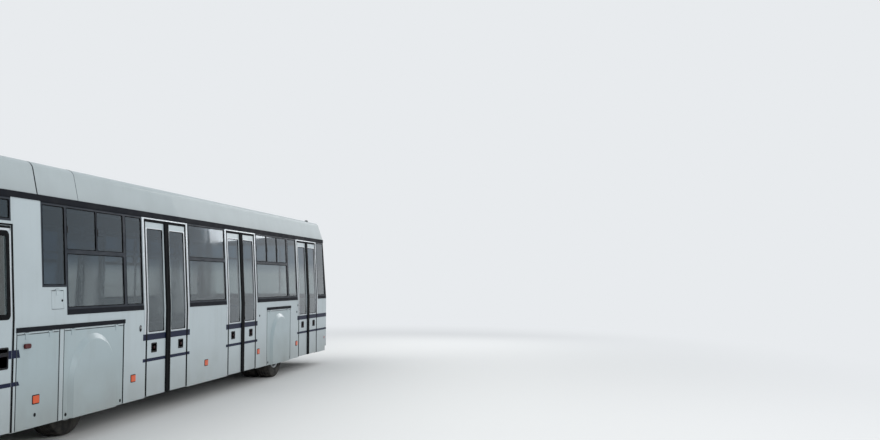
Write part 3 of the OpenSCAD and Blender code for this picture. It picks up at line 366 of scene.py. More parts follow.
def panel_paint(name, rgb, dust=DUST, dust_and_shade_low=0.28, dust_and_shade_high=0.9, rough=0.36, streak=0.12, dust_and_shade_most=0.45,
                gloss=0.3):
    """Paint whose mixed-in colour thins out with height, with upright rain streaks and a faint unevenness of the
    sheet.
    """
    # The mixed-in colour is dust on the sides and bumpers; on the roof it is painted shade.
    f, colour = Finish(name, rgb, rough, coat=0.1, gloss=gloss), linear(*rgb)
    height = f.add("SeparateXYZ", f.place).outputs["Z"]
    cloud, grain, runs = f.noise(2.2, 6), f.noise(60, 3), f.noise(5, 5, (1.6, 1.6, 0.12))
    dust_and_shade = f.joined(f.ramp(height, dust_and_shade_low, dust_and_shade_high, dust_and_shade_most, 0.0), f.ramp(cloud, 0.3, 0.75, 0.5, 1.0))
    amount = f.joined(dust_and_shade, f.ramp(runs, 0.52, 0.75, 0.0, streak), "MAXIMUM")
    tone = f.mixed(f.ramp(cloud, 0.35, 0.65), colour, shaded(colour, 0.95))
    f.set(Base_Color=f.mixed(amount, tone, linear(*dust)), Roughness=f.ramp(amount, 0.0, 1.0, rough, 0.75))
    f.roughen(f.joined(cloud, grain, "ADD"), 0.12, 0.004)
    return f.owner


coach_paint = panel_paint("coach_paint", (170, 181, 185))
flap_paint = panel_paint("flap_paint", (156, 170, 174), dust_and_shade_most=0.6)
# The roof's grey mix is painted shade: darker on the cover towards the gutter, paler on the crown, as if lit by
# the sky.
roof_paint = panel_paint("roof_paint", (170, 179, 181), (150, 155, 156), 2.7, 2.95, 0.62, 0.14, gloss=0.1)
bumper_paint = panel_paint("bumper_paint", (158, 169, 173), DUST, 0.25, 0.7, 0.42)
navy_tape = panel_paint("navy_tape", (11, 21, 48), (40, 49, 68), 0.5, 1.4, 0.55, 0.05, 0.2, 0.06)

# %% [markdown]
# ## Rubber, metal, glass and cloth
# Strips and seals are matt rubber with a grey bloom. Door frames are anodised aluminium with a drawn grain. The
# glass is tinted right through, so it darkens the saloon and mirrors the pale ground as the real panes do.

# %% Plain finishes with their grain
def worn(name, rgb, rough, metal=0.0, shade=0.8, scale=12.0, stretch=(1, 1, 1), bump=0.1, depth=0.002,
         wear=0.12, gloss=0.5):
    """A finish that varies between its colour and another shade of it, with matching gloss and a fine bump."""
    f, colour = Finish(name, rgb, rough, metal, gloss=gloss), linear(*rgb)
    cloud = f.noise(scale, 5, stretch)
    f.set(Base_Color=f.mixed(f.ramp(cloud, 0.35, 0.68), colour, shaded(colour, shade)),
          Roughness=f.ramp(cloud, 0.3, 0.7, rough - wear, rough + wear))
    f.roughen(f.noise(scale * 14, 2, stretch), bump, depth)
    return f.owner


strip_rubber = worn("strip_rubber", (22, 24, 29), 0.75, shade=1.35, scale=6, bump=0.2, gloss=0.06)
seal_rubber = worn("seal_rubber", (14, 15, 17), 0.8, shade=1.4, scale=20, bump=0.25, gloss=0.05)
window_alloy = worn("window_alloy", (31, 38, 47), 0.5, 0.0, 0.85, 8, (1, 1, 6), gloss=0.12)
door_alloy = worn("door_alloy", (196, 202, 206), 0.36, 0.75, 0.88, 4, (8, 8, 1), 0.05)
chassis_steel = worn("chassis_steel", (48, 49, 51), 0.62, 0.3, 1.9, 5, bump=0.35, depth=0.004)
axle_iron = worn("axle_iron", (62, 60, 58), 0.6, 0.55, 1.5, 9, bump=0.4, depth=0.004)
bright_steel = worn("bright_steel", (176, 178, 180), 0.3, 0.95, 0.85, 10, bump=0.05)
wheel_paint = worn("wheel_paint", (168, 172, 174), 0.45, 0.25, 0.68, 7, bump=0.15)
black_plastic = worn("black_plastic", (20, 21, 24), 0.55, shade=1.3, scale=15, bump=0.3, gloss=0.12)
cab_plastic = worn("cab_plastic", (58, 61, 65), 0.55, shade=0.85, scale=10, bump=0.4, depth=0.001)
lining_board = worn("lining_board", (150, 152, 148), 0.6, shade=0.92, scale=3, bump=0.1)
moulded_seat = worn("moulded_seat", (52, 76, 118), 0.45, shade=0.85, scale=6, bump=0.2)
red_plastic = worn("red_plastic", (74, 18, 20), 0.45, shade=0.8, scale=20, gloss=0.2)
knob_plastic = worn("knob_plastic", (44, 17, 19), 0.5, shade=0.8, scale=20, gloss=0.12)
hose_black = worn("hose_black", (22, 23, 24), 0.7, shade=1.3, scale=30, stretch=(1, 1, 8), bump=0.3, gloss=0.15)
plate_white = worn("plate_white", (214, 216, 214), 0.4, shade=0.94, scale=9)


# %% Floor covering and seat cloth
def speckled(name, rgb, chips, scale, rough):
    """Vinyl with small chips of another colour, from cells whose middles are kept."""
    f = Finish(name, rgb, rough)
    cells = f.add("TexVoronoi", f.place, Scale=scale).outputs["Distance"]
    f.set(Base_Color=f.mixed(f.ramp(cells, 0.22, 0.16), linear(*rgb), linear(*chips)),
          Roughness=f.ramp(f.noise(5), 0.3, 0.7, rough - 0.12, rough + 0.15))
    f.roughen(cells, 0.15, 0.001)
    return f.owner


def woven(name, rgb, thread, pitch=140):
    """Seat cloth: crossed sine waves give the weave, and a few lighter threads run through it."""
    f = Finish(name, rgb, 0.85, Sheen_Weight=0.35)
    cloth = f.joined(*[f.waves(way, pitch, Distortion=0.4) for way in "YZ"])
    amount = f.joined(cloth, f.ramp(f.noise(8), 0.3, 0.7, 0.3, 1.0))
    f.set(Base_Color=f.mixed(amount, linear(*rgb), linear(*thread)))
    f.roughen(cloth, 0.5, 0.001)
    return f.owner


floor_vinyl = speckled("floor_vinyl", (92, 95, 98), (150, 152, 152), 160, 0.55)
seat_cloth = woven("seat_cloth", (34, 50, 92), (96, 116, 160))
driver_cloth = woven("driver_cloth", (36, 38, 42), (84, 88, 96))


# %% Tinted glass and lamp lenses
def glass(name, rgb, film=None, painted_sky_tint=(1, 1, 1, 1)):
    """Glass tinted right through; a little noise in the gloss stands for wiped dust.

    A film is a darker tint of the upper panes: it sets in at the transom, and fills the narrow pane too."""
    # The painted sky tint turns every reflection in the pane blue: a painted reflection of sky.
    f = Finish(name, rgb, 0.02, gloss=0.25, Transmission_Weight=1.0, IOR=1.45, Specular_Tint=painted_sky_tint)
    if film:
        at = f.add("SeparateXYZ", f.place).outputs
        ahead = f.ramp(at["X"], SALOON_FRONT - 0.01, SALOON_FRONT + 0.01)
        amount = f.joined(f.ramp(at["Z"], 1.95, 2.2), ahead, "MAXIMUM")
        f.set(Base_Color=f.mixed(amount, linear(*rgb), linear(*film)))
    f.set(Roughness=f.ramp(f.noise(3, 5, (1, 1, 0.4)), 0.45, 0.8, 0.02, 0.12))
    return f.owner


def fluted(name, rgb, pitch, direction="Y", clear=0.75, gloss=0.5):
    """Moulded lens: fine flutes as bump under a glossy face, or a duller one where the gloss is low."""
    f = Finish(name, rgb, 0.12 + 0.2 * (gloss < 0.5), coat=gloss, gloss=gloss, Transmission_Weight=clear)
    f.roughen(f.waves(direction, pitch), 0.4, 0.002)
    return f.owner


# The saloon panes' blue painted sky tint is a painted reflection of sky in their gloss.
saloon_glass = glass("saloon_glass", (158, 164, 165), (74, 92, 108), (0.5, 0.8, 1, 1))
screen_glass = glass("screen_glass", (186, 198, 198))
lamp_clear = fluted("lamp_clear", (235, 240, 244), 14, clear=0.95)
lamp_red = fluted("lamp_red", (178, 22, 20), 30, "Z", 0.3)
lamp_amber = fluted("lamp_amber", (205, 78, 26), 26, "X", 0.0, 0.2)
lamp_white = fluted("lamp_white", (226, 228, 226), 30, "Z", 0.5)
reflector = worn("reflector", (236, 238, 240), 0.12, 1.0, 0.95, 30, bump=0.02, wear=0.03)
mirror_face = worn("mirror_face", (232, 236, 238), 0.04, 1.0, 0.98, 8, bump=0.0, wear=0.02)
lamp_lit = worn("lamp_lit", (238, 238, 230), 0.5, shade=0.97, scale=8)

# %% [markdown]
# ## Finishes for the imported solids
# Each solid keeps its shape and gets the finish of what it is made of. The table reads from the outside in, and
# braces stand for both sides.

# %% Assign the finishes
FINISHES = {
    coach_paint: "side_wall_{} front_cap rear_cap door_leaves_{} filler_flap driver_door_{}",
    flap_paint: "front_service_flap_{} front_wheel_flap_{} rear_wheel_flap_{}",
    roof_paint: "roof_shell roof_nose roof_hatches",
    bumper_paint: "bumpers",
    strip_rubber: "rubber_strips rear_frame",
    seal_rubber: "door_rubbers",
    window_alloy: "window_frames",
    door_alloy: "door_portals",
    saloon_glass: "side_glass",
    screen_glass: "end_glass driver_door_glass_{}",
    chassis_steel: "chassis_frame front_frame engine_block fuel_tank rear_trailing_arms",
    axle_iron: "front_axle tie_rod knuckle_{}",
    wheel_paint: "front_{}_rim rear_{}_rims",
    hose_black: "air_springs front_{}_tyre rear_{}_tyres",
    floor_vinyl: "floor_deck front_podium",
    lining_board: "ceiling cab_partition",
    bright_steel: "grab_rails",
    moulded_seat: "passenger_seats",
    black_plastic: "mirrors steering_wheel driver_seat front_grille",
    cab_plastic: "dashboard",
    lamp_clear: "headlamps",
    lamp_red: "tail_lamps",
    lamp_amber: "side_markers",
}
dressed = set()
for material, names in FINISHES.items():
    for name in sorted({name.format(side_name) for side_name, side in SIDES for name in names.split()}):
        nodes[name].data.materials.clear()
        nodes[name].data.materials.append(material)
        dressed.add(name)
print("solids without a finish:", sorted(set(nodes) - dressed))

# %% [markdown]
# ## Navy bands
# Two bands of navy tape cross the doors, a broad one under the door glass and a thin one below it. Behind the
# rearmost door they run on round the rear end. Another length starts on a slant on the service flap, crosses
# the cab door and, for the broad one, goes on round the front. Each is a skin two millimetres thick, laid on
# the panel that carries it, so it opens with a door.

# %% Bands
SKIN = (-0.0004, 0.0015)


def band(x0, x1, z, face=HALF_W, slant=0.0):
    """Flat tape from x0 to x1 between two heights; a slant moves its upper rear corner forward."""
    foot = np.array([[x0, z[0]], [x1, z[0]], [x1, z[1]], [x0 + slant, z[1]]])
    return swept([np.column_stack([foot[:, 0], np.full(4, face + out), foot[:, 1]]) for out in SKIN])


def end_outline(face_r, corner_r, grow):
    """Plan of an end, from the left wall round the corner, across the face and to the right wall, grown outwards.

    The face is a circle of radius face_r; the corner is a smaller circle that touches it and the wall."""
    turn = math.asin(HALF_W / face_r)
    centre_x = HALF_L - face_r
    corner = np.array([centre_x + math.sqrt(face_r ** 2 - HALF_W ** 2), HALF_W])
    c = corner + [-corner_r * (1 - math.sin(turn)) / math.cos(turn), -corner_r]
    a = np.linspace(math.pi / 2, turn, 12)
    arc = c + (corner_r + grow) * np.stack([np.cos(a), np.sin(a)], -1)
    reach = math.asin(arc[-1, 1] / (face_r + grow))
    b = np.linspace(reach, -reach, 40)[1:-1]
    face = np.stack([centre_x + (face_r + grow) * np.cos(b), (face_r + grow) * np.sin(b)], -1)
    return np.concatenate([arc, face, arc[::-1] * [1, -1]])


def end_band(face_r, corner_r, start_x, z, front=True, keep=slice(None)):
    """Tape that follows an end's plan: the same outline at two depths and two heights makes a closed strip."""
    rows = []
    for grow in SKIN:
        side = np.array([[start_x, HALF_W + grow]])
        rows.append(np.concatenate([side, end_outline(face_r, corner_r, grow), side * [1, -1]])[keep])
    inner, outer = rows
    edges = ((inner, z[0]), (outer, z[0]), (outer, z[1]), (inner, z[1]))
    points, faces = swept(np.stack([np.column_stack([p, np.full(len(p), h)]) for p, h in edges], 1))
    return points * [1 if front else -1, 1, 1], faces


SERVICE_BODY, CAB_BODY = "front_service_flap_{}_body", "driver_door_{}_body"
HANDLE_REAR, HANDLE_FRONT = 5.689, 5.881
tapes, cab, flap = [], [], []
for z in (BROAD_BAND, THIN_BAND):
    tapes += [band(x0 + 0.001, x1 - 0.001, z, HALF_W - 0.002) for door, k, x0, x1 in leaves]
    for door in DOORS:
        a, b = door - OPENING / 2, door + OPENING / 2
        tapes += [band(-6.635 if door == DOORS[0] else a - 0.08, a, z), band(b, b + 0.08, z)]
    tapes += [band(5.552, CAB_DOOR[0] - 0.002, z), band(6.436, 6.498, z)]
    cab += [band(CAB_DOOR[0] + 0.006, HANDLE_REAR, z),
            band(HANDLE_FRONT if z == BROAD_BAND else HANDLE_REAR, CAB_DOOR[1] - 0.001, z)]
    flap.append(band(5.478, 5.534, z, slant=0.028))
pair("bands", tapes, navy_tape)
pair("door_bands", cab, navy_tape, CAB_BODY)
pair("flap_band_ends", flap, navy_tape, SERVICE_BODY)
rear_plan = (REAR_R, 0.09, 6.642)
corner = end_band(*rear_plan, THIN_BAND, False, slice(0, 9))
piece("rear_bands", [end_band(*rear_plan, BROAD_BAND, False), corner, flipped(corner, -1)], navy_tape)
piece("front_bands", [end_band(FRONT_R, 0.19, 6.502, BROAD_BAND)], navy_tape)

# %% [markdown]
# ## Door furniture
# Each leaf has a black pull cup between the bands, and its glass sits in a rubber seal inside a thin bright
# bead. A cup is a plate with a sunken middle: one outline at five depths and widths, joined in order. The
# rubber noses where two leaves meet stand proud of the wall. Black lips over the leaves' outer edges and a dark
# strip over each opening are partly rubber and partly painted shade of the gaps beside and above the leaves.

# %% Cups, beads, lips and noses on the passenger doors
CUP_X, CUP_Z = [-5.70, -4.86, -1.65, -0.77, 1.38, 2.27], 0.925
LIP_W, MIDDLE_RIM, EDGE_RIM = 0.022, 0.045, 0.06


def cup(x, z, w, h, r, face=0.002):
    """A rounded plate whose middle sinks in: the outline shrinks as it goes over the rim and down."""
    steps = [(0, 0), (0, -0.004), (0.004, -0.006), (0.014, -0.006), (0.020, 0.001)]
    box = (x - w / 2, z - h / 2, x + w / 2, z + h / 2)
    return swept([on_wall(corner_outline(*grown(box, -s), max(r - s, 0.003)), face + d) for s, d in steps])


KNOB = [(0, 0), (0.021, 0), (0.021, 0.006), (0.016, 0.009), (0, 0.009)]
pair("pull_cups", [cup(x, CUP_Z, 0.17, 0.13, 0.014) for x in CUP_X], black_plastic)
pair("pull_knobs", [turned(KNOB, (x, HALF_W - 0.0025, CUP_Z), "y", 24) for x in CUP_X], knob_plastic)
beads, seals, lips_and_gap_shade, noses = [], [], [], []
low, high = LEAF_GLASS
for door, k, x0, x1 in leaves:
    a, b = (x0 + MIDDLE_RIM, x1 - EDGE_RIM) if k > 0 else (x0 + EDGE_RIM, x1 - MIDDLE_RIM)
    edge, wall, rim = door + k * LEAF_PAIR / 2, door + k * OPENING / 2, b + 0.002 if k > 0 else a - 0.002
    seals.append(wall_bead(*grown((a, low, b, high), -0.003), 0.02, 0.0045, 0.0055))
    beads.append(wall_ring(*grown((a, low, b, high), 0.012), 0.013, 0.03, 0.009, 0.0005))
    beads.append(upright(edge - k * (LIP_W + 0.001), rim, low - 0.01, high + 0.01, -0.009, -0.001))
    # Each lip runs from the opening's edge over the leaf's outer edge: partly rubber, partly painted shade of the
    # gap beside the leaf.
    lips_and_gap_shade.append(upright(edge - k * LIP_W, wall - k * 0.001, LEAF_FOOT, LEAF_TOP, -0.006, 0.0008))
    inner, outer = door + k * 0.001, door + k * (EDGE_RUBBER + 0.001)
    noses.append(upright(inner, outer, LEAF_FOOT, LEAF_TOP, -0.003, 0.017, 0.009))
for door in DOORS:
    a, b = door - OPENING / 2 + 0.001, door + OPENING / 2 - 0.001
    # A dark strip over the top of each opening: partly rubber, partly painted shade of the gap above the leaves.
    lips_and_gap_shade.append(wall_plate(a, LEAF_TOP - 0.001, b, LEAF_TOP + 0.037, 0.001, 0.004, -0.0052))
pair("leaf_seals", seals, seal_rubber)
pair("leaf_frames", beads, door_alloy)
pair("leaf_lips_and_painted_gap_shade", lips_and_gap_shade, seal_rubber)
pair("leaf_noses", noses, seal_rubber)

# %% [markdown]
# ## Window seals and catches
# The fixed panes sit in rubber, and the sliding sashes above the transom have a meeting bar and a small catch.

# %% Panes, each a rectangle of rear edge, lower edge, front edge and upper edge
RIM, TRANSOM, TOP = 0.024, 2.15, 2.67


def fixed(x0, x1, z0=SILL):
    """One pane inside its frame."""
    return [grown((x0, z0, x1, TOP), -RIM)]


def sashes(x0, x1, n):
    """One pane below the transom and n sliding panes above it."""
    w = (x1 - x0 - RIM) / n
    return [grown((x0, SILL, x1, TRANSOM), -RIM)] + [
        (x0 + RIM + i * w, TRANSOM + RIM, x0 + (i + 1) * w, TOP - RIM) for i in range(n)]


gap = OPENING / 2 + 0.07
w0, w1 = (-6.63, DOORS[0] - gap), (DOORS[0] + gap, DOORS[1] - gap)
w2, w3 = (DOORS[1] + gap, DOORS[2] - gap), (DOORS[2] + gap, SALOON_FRONT)
panes = fixed(*w0) + fixed(w1[0], w1[0] + 0.6) + sashes(w1[0] + 0.64, w1[1], 3) + sashes(*w2, 1)
panes += fixed(w3[0], w3[0] + 0.5) + sashes(w3[0] + 0.52, w3[1], 2)
panes += fixed(SALOON_FRONT, NARROW_FRONT, 1.75) + fixed(*CAB_DOOR, 2.43)
pair("pane_seals", [wall_bead(*grown(pane, -0.002), 0.022, 0.0005, 0.0055) for pane in panes], seal_rubber)
catches = [wall_plate(x1 - 0.03, 2.36, x1 - 0.008, 2.44, 0.006, 0.004, -0.006)
           for x0, z0, x1, z1 in panes if z0 > TRANSOM]
pair("sash_catches", catches, black_plastic, bevel=0.002)
heads = [w0, CAB_DOOR, (w3[0] - 0.02, NARROW_FRONT)] + [(a - 0.02, b + 0.02) for a, b in (w1, w2)]
heads += [(door - gap, door + gap) for door in DOORS]
pair("window_heads", [wall_plate(a, TOP - 0.003, b, GUTTER + 0.004, 0.001, 0.004, -0.0045) for a, b in heads],
     strip_rubber)
print("panes on each side", len(panes))

# %% [markdown]
# ## The cab door's trim and the edges of door and flaps
# Round the cab window lies a black surround, and a bright strip frames that on three sides. Dark strips lie flush
# over the gaps where the cab door and the flaps close, partly rubber seal and partly painted shade of the gaps,
# so their outlines read as black or grey lines in the pale sides.

# %% Trim and edge seals
FOOT, FLAP_TOP, CAB_TOP, TRIM_W, TRIM_TOP = 0.284, 1.284, 2.40, 0.022, 2.35
x0, x1 = CAB_DOOR[0] + 0.010, CAB_DOOR[1] - 0.012
surround = [wall_ring(x0 + TRIM_W, 1.424, x1 - TRIM_W, TRIM_TOP - TRIM_W, 0.055, 0.06, 0.004, -0.0022),
            upright(x0 - 0.004, x1 + 0.004, TRIM_TOP + 0.002, TRIM_TOP + 0.024, -0.002, 0.0012)]
pair("cab_window_surround", surround, seal_rubber, CAB_BODY)
trim = [upright(x, x + TRIM_W, 1.40, TRIM_TOP, -0.003, 0.0032, 0.001) for x in (x0, x1 - TRIM_W)]
trim.append(wall_plate(x0, TRIM_TOP - TRIM_W, x1, TRIM_TOP, 0.002, 0.003, -0.0032))
pair("cab_window_trim", trim, door_alloy, CAB_BODY)
# Dark strips of differing widths laid flush over the gaps of the cab door and the flaps: partly rubber seal,
# partly painted shade of the gaps.
edges = [upright(5.592, 5.627, FOOT, CAB_TOP, -0.003, 0.0012),
         wall_plate(5.60, CAB_TOP - 0.018, 6.43, CAB_TOP, 0.001, 0.003, -0.0012)]
GAP_SEAL_AND_SHADE_SPANS = [(3.156, 3.182), (4.612, 4.618), (4.702, 4.718), (5.542, 5.552), (-3.996, -3.982), (-2.538, -2.526)]
edges += [upright(a, b, FOOT, FLAP_TOP, -0.003, 0.0012) for a, b in GAP_SEAL_AND_SHADE_SPANS]
pair("gap_seals_and_painted_gap_shade", edges, seal_rubber)

# %% [markdown]
# ## Markers, locks and the filler flap
# Small fittings tell the size of a big vehicle. Amber markers sit low along the side, one of them on the
# service flap, where a dark red lamp sits too. Locks are dark discs with a sunken middle, turned profiles.

# %% Small side fittings
def lock(x, z, r=0.02, side_y=HALF_W):
    """A lock: a low disc with a rounded rim and a sunken middle."""
    shape = [(0, -0.001), (1, -0.001), (1, 0.004), (0.85, 0.006), (0.5, 0.006), (0.45, 0.003), (0, 0.003)]
    return turned([(r * share, out) for share, out in shape], (x, side_y, z), "y", 28)


def marker_seat(x):
    """The plate under a marker."""
    return wall_plate(x - 0.07, 0.52, x + 0.07, 0.62, 0.014, 0.0, -0.003)


pair("flap_marker", [wall_plate(5.105, 0.53, 5.225, 0.61, 0.012, 0.0, -0.008)], lamp_amber, SERVICE_BODY, 0.003)
pair("flap_marker_seat", [marker_seat(5.165)], black_plastic, SERVICE_BODY)
pair("flap_lamp", [wall_plate(5.30, 1.115, 5.42, 1.165, 0.02, 0.0, -0.022)], red_plastic, SERVICE_BODY, 0.006)
pair("rear_marker", [wall_plate(-6.61, 0.55, -6.55, 0.60, 0.01, 0.0, -0.006)], lamp_red, bevel=0.002)
pair("marker_seats", [marker_seat(x) for x in (-4.422, -2.053, 0.3975, 2.888)], black_plastic)
pair("service_flap_lock", [lock(5.18, 0.41)], black_plastic, SERVICE_BODY)
for end, xs in (("front", (4.55, 3.24)), ("rear", (-2.6, -3.92))):
    pair(f"{end}_flap_locks_{{}}", [lock(x, 0.33) for x in xs], black_plastic, end + "_wheel_flap_{}_body")
wall_locks = [lock(x, z) for x, z in ((-2.11, 1.20), (-4.43, 1.20), (-4.5, 1.33))]
pair("wall_locks", [wall_plate(2.666, 1.155, 2.724, 1.24, 0.028, 0.0, -0.004)] + wall_locks, black_plastic)
pair("wall_lock_barrel", [lock(2.695, 1.21, 0.016, HALF_W + 0.003)], bright_steel)
grip = wall_plate(5.715, 1.06, 5.855, 1.10, 0.015, 0.001, -0.010)
pair("cab_door_handle", [cup(5.785, 1.04, 0.19, 0.22, 0.02, 0.0), grip], black_plastic, CAB_BODY, 0.002)
pair("cab_door_lock", [lock(5.74, 0.975, 0.013, HALF_W - 0.006)], bright_steel, CAB_BODY)
piece("filler_lock", [lock(4.66, 1.6, 0.014, float(wall_y(1.6)))], black_plastic, "filler_flap_body")

# %% [markdown]
# ## Tyres with their tread
# A bus tyre has four grooves round it and shallow cuts across its shoulders. The surface is a grid: one way
# runs round the axle, the other across the section, and the radius drops where a groove or a cut passes. The
# rubber is soot black, greyed in clouds by the dust of the ground.

# %% Tyres
TYRE_R, TREAD, RIM_R = 0.48, 0.1175, 0.286
FRONT_Y, REAR_Y, TWIN = 1.06, 1.13, 0.155
SECTION = np.array([[RIM_R + 0.001, -0.100], [0.300, -0.104], [0.322, -0.118], [0.346, -0.131], [0.386, -0.139],
                    [0.425, -0.1335], [0.452, -0.125], [0.466, -TREAD]])


def tyre(x, y, steps=288):
    """Tread radius over (angle, width): the crown's curve, less a groove or cut where one passes."""
    across = np.linspace(-TREAD, TREAD, 61)
    crown = TYRE_R - 0.0012 - 0.0128 * np.abs(across / TREAD) ** 3
    groove = sum(np.exp(-((across - g) / 0.0042) ** 6) for g in (-0.078, -0.026, 0.026, 0.078)) * 0.011
    turn = round_turn(steps)[:, None]
    cuts = (np.cos(turn * 72) > 0.55) * (np.abs(across) > 0.088) * 0.006
    radii, widths = SECTION.T
    walls = radii + 0.0008 * np.cos(turn * 96) * ((radii > 0.40) & (radii < 0.46))
    r = np.concatenate([walls, crown - groove - cuts, walls[:, ::-1], np.full((steps, 2), RIM_R)], 1)
    w = np.concatenate([widths, across, -widths[::-1], [0.05, -0.05]]) + 0 * r
    return swept(np.stack([x + r * np.cos(turn), y + w, HUB + r * np.sin(turn)], -1), closed=True)


rubber = Finish("tyre_rubber", (33, 33, 34), 0.8, gloss=0.15)
dust = rubber.ramp(rubber.noise(9, 5), 0.35, 0.7, 0.05, 0.6)
rubber.set(Base_Color=rubber.mixed(dust, linear(33, 33, 34), linear(92, 88, 82)))
rubber.roughen(rubber.noise(120, 2), 0.3, 0.001)
single = [tyre(FRONT_AXLE, FRONT_Y)]
for side_name, front in pair("front_{}_tread", single, rubber.owner, "front_{}_wheel", angle=28):
    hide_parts(f"front_{side_name}_tyre")
twins = [tyre(REAR_AXLE, REAR_Y + k * TWIN) for k in (-1, 1)]
for side_name, rear in pair("rear_{}_treads", twins, rubber.owner, "rear_{}_wheels", angle=28):
    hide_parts(f"rear_{side_name}_tyres")

# %% Wheel nuts and hub caps
NUT = [(0, 0), (0.016, 0), (0.016, 0.018), (0.012, 0.022), (0.012, 0.034), (0.009, 0.036), (0, 0.036)]
CAP = [(0, 0.0), (0.084, 0.0), (0.084, 0.012), (0.074, 0.02), (0.03, 0.026), (0, 0.027)]


def nuts(x, y, ring=0.14):
    """Nuts in a ring round the axle: six-sided turned profiles, one at each equal angle."""
    return [turned(NUT, (x + ring * math.cos(a), y, HUB + ring * math.sin(a)), "y", 6) for a in round_turn(10)]


pair("front_{}_nuts", nuts(FRONT_AXLE, FRONT_Y + 0.046), bright_steel, "front_{}_wheel")
pair("front_{}_hub_cap", [turned(CAP, (FRONT_AXLE, 1.16, HUB), "y", 40)], axle_iron, "front_{}_wheel")
pair("rear_{}_nuts", nuts(REAR_AXLE, REAR_Y + 0.081), bright_steel, "rear_{}_wheels")

# %% [markdown]
# ## The ends of the body
# Both ends are parts of upright cylinders, and the windscreen is the same cylinder drawn in with height. A
# point on them is found from its place across and its height, and what is fixed there stands a little proud.

# %% Places on the ends
def front_x(y, z, out=0.0):
    """Front face: a circle about a point on the bus's middle line, less the screen's lean above its foot."""
    back = np.maximum(np.asarray(z, float) - SCREEN_FOOT, 0) * math.tan(math.radians(8))
    return HALF_L - FRONT_R + np.sqrt((FRONT_R - back + out) ** 2 - np.asarray(y, float) ** 2)


def rear_x(y, z, out=0.0):
    """Rear face: a circle too, set back evenly above the belt."""
    back = np.maximum(np.asarray(z, float) - BELT, 0) * 0.110 / (COVER - BELT)
    return REAR_R - HALF_L - np.sqrt((REAR_R - back + out) ** 2 - np.asarray(y, float) ** 2)


def on_end(face, y, z, out):
    """Points at a distance in front of an end's face, at their places across and heights."""
    return np.column_stack([face(y, z, out), y, z])


def end_bead(face, y0, z0, y1, z1, r, out, thick):
    """Round bead on an end, along a rectangle of y and z with round corners; long sides get extra points."""
    o = corner_outline(y0, z0, y1, z1, r, 8)
    o = np.concatenate([np.linspace(a, b, 12, endpoint=False) if np.linalg.norm(b - a) > 0.2 else a[None]
                        for a, b in zip(o, np.roll(o, -1, 0))])
    return piped(on_end(face, *o.T, out), thick, 8, closed=True)


def end_patch(face, y0, z0, y1, z1, back, front):
    """Plate that follows an end: a grid across and up, at a back and a front depth, closed round its edge."""
    y = np.linspace(y0, y1, 16)
    corners = ((z0, back), (z0, front), (z1, front), (z1, back))
    return swept(np.stack([on_end(face, y, np.full(16, z), out) for z, out in corners], 1))


# %% Screen seals, wipers and lamps in front
piece("windscreen_seal", [end_bead(front_x, -1.287, 1.203, 1.287, 2.637, 0.077, -0.004, 0.009)], seal_rubber)
piece("rear_window_seal", [end_bead(rear_x, -1.237, 1.530, 1.237, 2.637, 0.057, -0.004, 0.009)], seal_rubber)
bar = piped(on_end(front_x, np.zeros(9), np.linspace(1.206, 2.634, 9), -0.002), 0.008, 8)
piece("windscreen_middle_seal", [bar], seal_rubber)


def wiper(y, way):
    """Arm from its pivot to the blade's middle, and a blade that follows the glass."""
    arm = on_end(front_x, y + way * np.array([0, 0.12, 0.28, 0.42]), np.array([1.20, 1.33, 1.50, 1.66]),
                 np.array([0.004, 0.010, 0.012, 0.010]))
    blade = on_end(front_x, y + way * np.linspace(0.12, 0.72, 14), np.linspace(1.42, 1.90, 14), 0.003)
    pivot = turned([(0, -0.02), (0.02, -0.02), (0.02, 0.004), (0.014, 0.008), (0, 0.008)],
                   (float(front_x(y, 1.2)), y, 1.2), "x", 24)
    return [piped(arm, [0.010, 0.008, 0.006, 0.005], 8), piped(blade, 0.0055, 8), pivot]


piece("wipers", wiper(-0.95, 1) + wiper(0.95, -1), black_plastic)


def lamp_pod(spot, r, depth):
    """A bowl reflector: the profile is half of a parabola turned about the bus's length."""
    a = np.linspace(0, 1, 9)
    bowl = np.column_stack([r * a, depth * (a * a - 1)])
    return turned(np.concatenate([bowl, bowl[::-1] + [0.002, -0.003]]), spot, "x", 40)


LAMP_Z, BOWL_R = 0.72, 0.062
RING = [(BOWL_R, -0.004), (BOWL_R + 0.008, -0.004), (BOWL_R + 0.008, 0.003), (BOWL_R, 0.005)]
BULB = [(0, -0.04), (0.012, -0.04), (0.014, -0.02), (0.008, -0.012), (0, -0.012)]
spots = [(float(front_x(y, LAMP_Z)) - 0.012, y, LAMP_Z) for y in (1.055, 1.225)]
pair("lamp_bowls", [lamp_pod(spot, BOWL_R, 0.05) for spot in spots], reflector)
rims = [turned(shape, spot, "x", steps) for shape, steps in ((RING, 40), (BULB, 20)) for spot in spots]
pair("lamp_rims", rims, bright_steel)
pair("lamp_surround", [end_bead(front_x, 0.966, 0.646, 1.324, 0.794, 0.014, 0.001, 0.008)], seal_rubber)
pair("lamp_well", [end_patch(front_x, 0.962, 0.642, 1.328, 0.798, -0.066, -0.062)], black_plastic)
cover = end_patch(front_x, 0.963, 0.643, 1.327, 0.797, -0.004, -0.001)
for side_name, thing in pair("lamp_glass", [cover], lamp_clear):
    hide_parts("headlamps")
piece("grille_backing", [end_patch(front_x, -0.545, 0.742, 0.545, 0.978, -0.045, -0.030)], hose_black)
plates = [along(corner_outline(-0.262, z, 0.262, z + 0.114, 0.012), x0, x1)
          for z, x0, x1 in ((0.588, 6.9068, 6.9092), (0.908, -6.9092, -6.9068))]
piece("blank_plates", plates, plate_white)

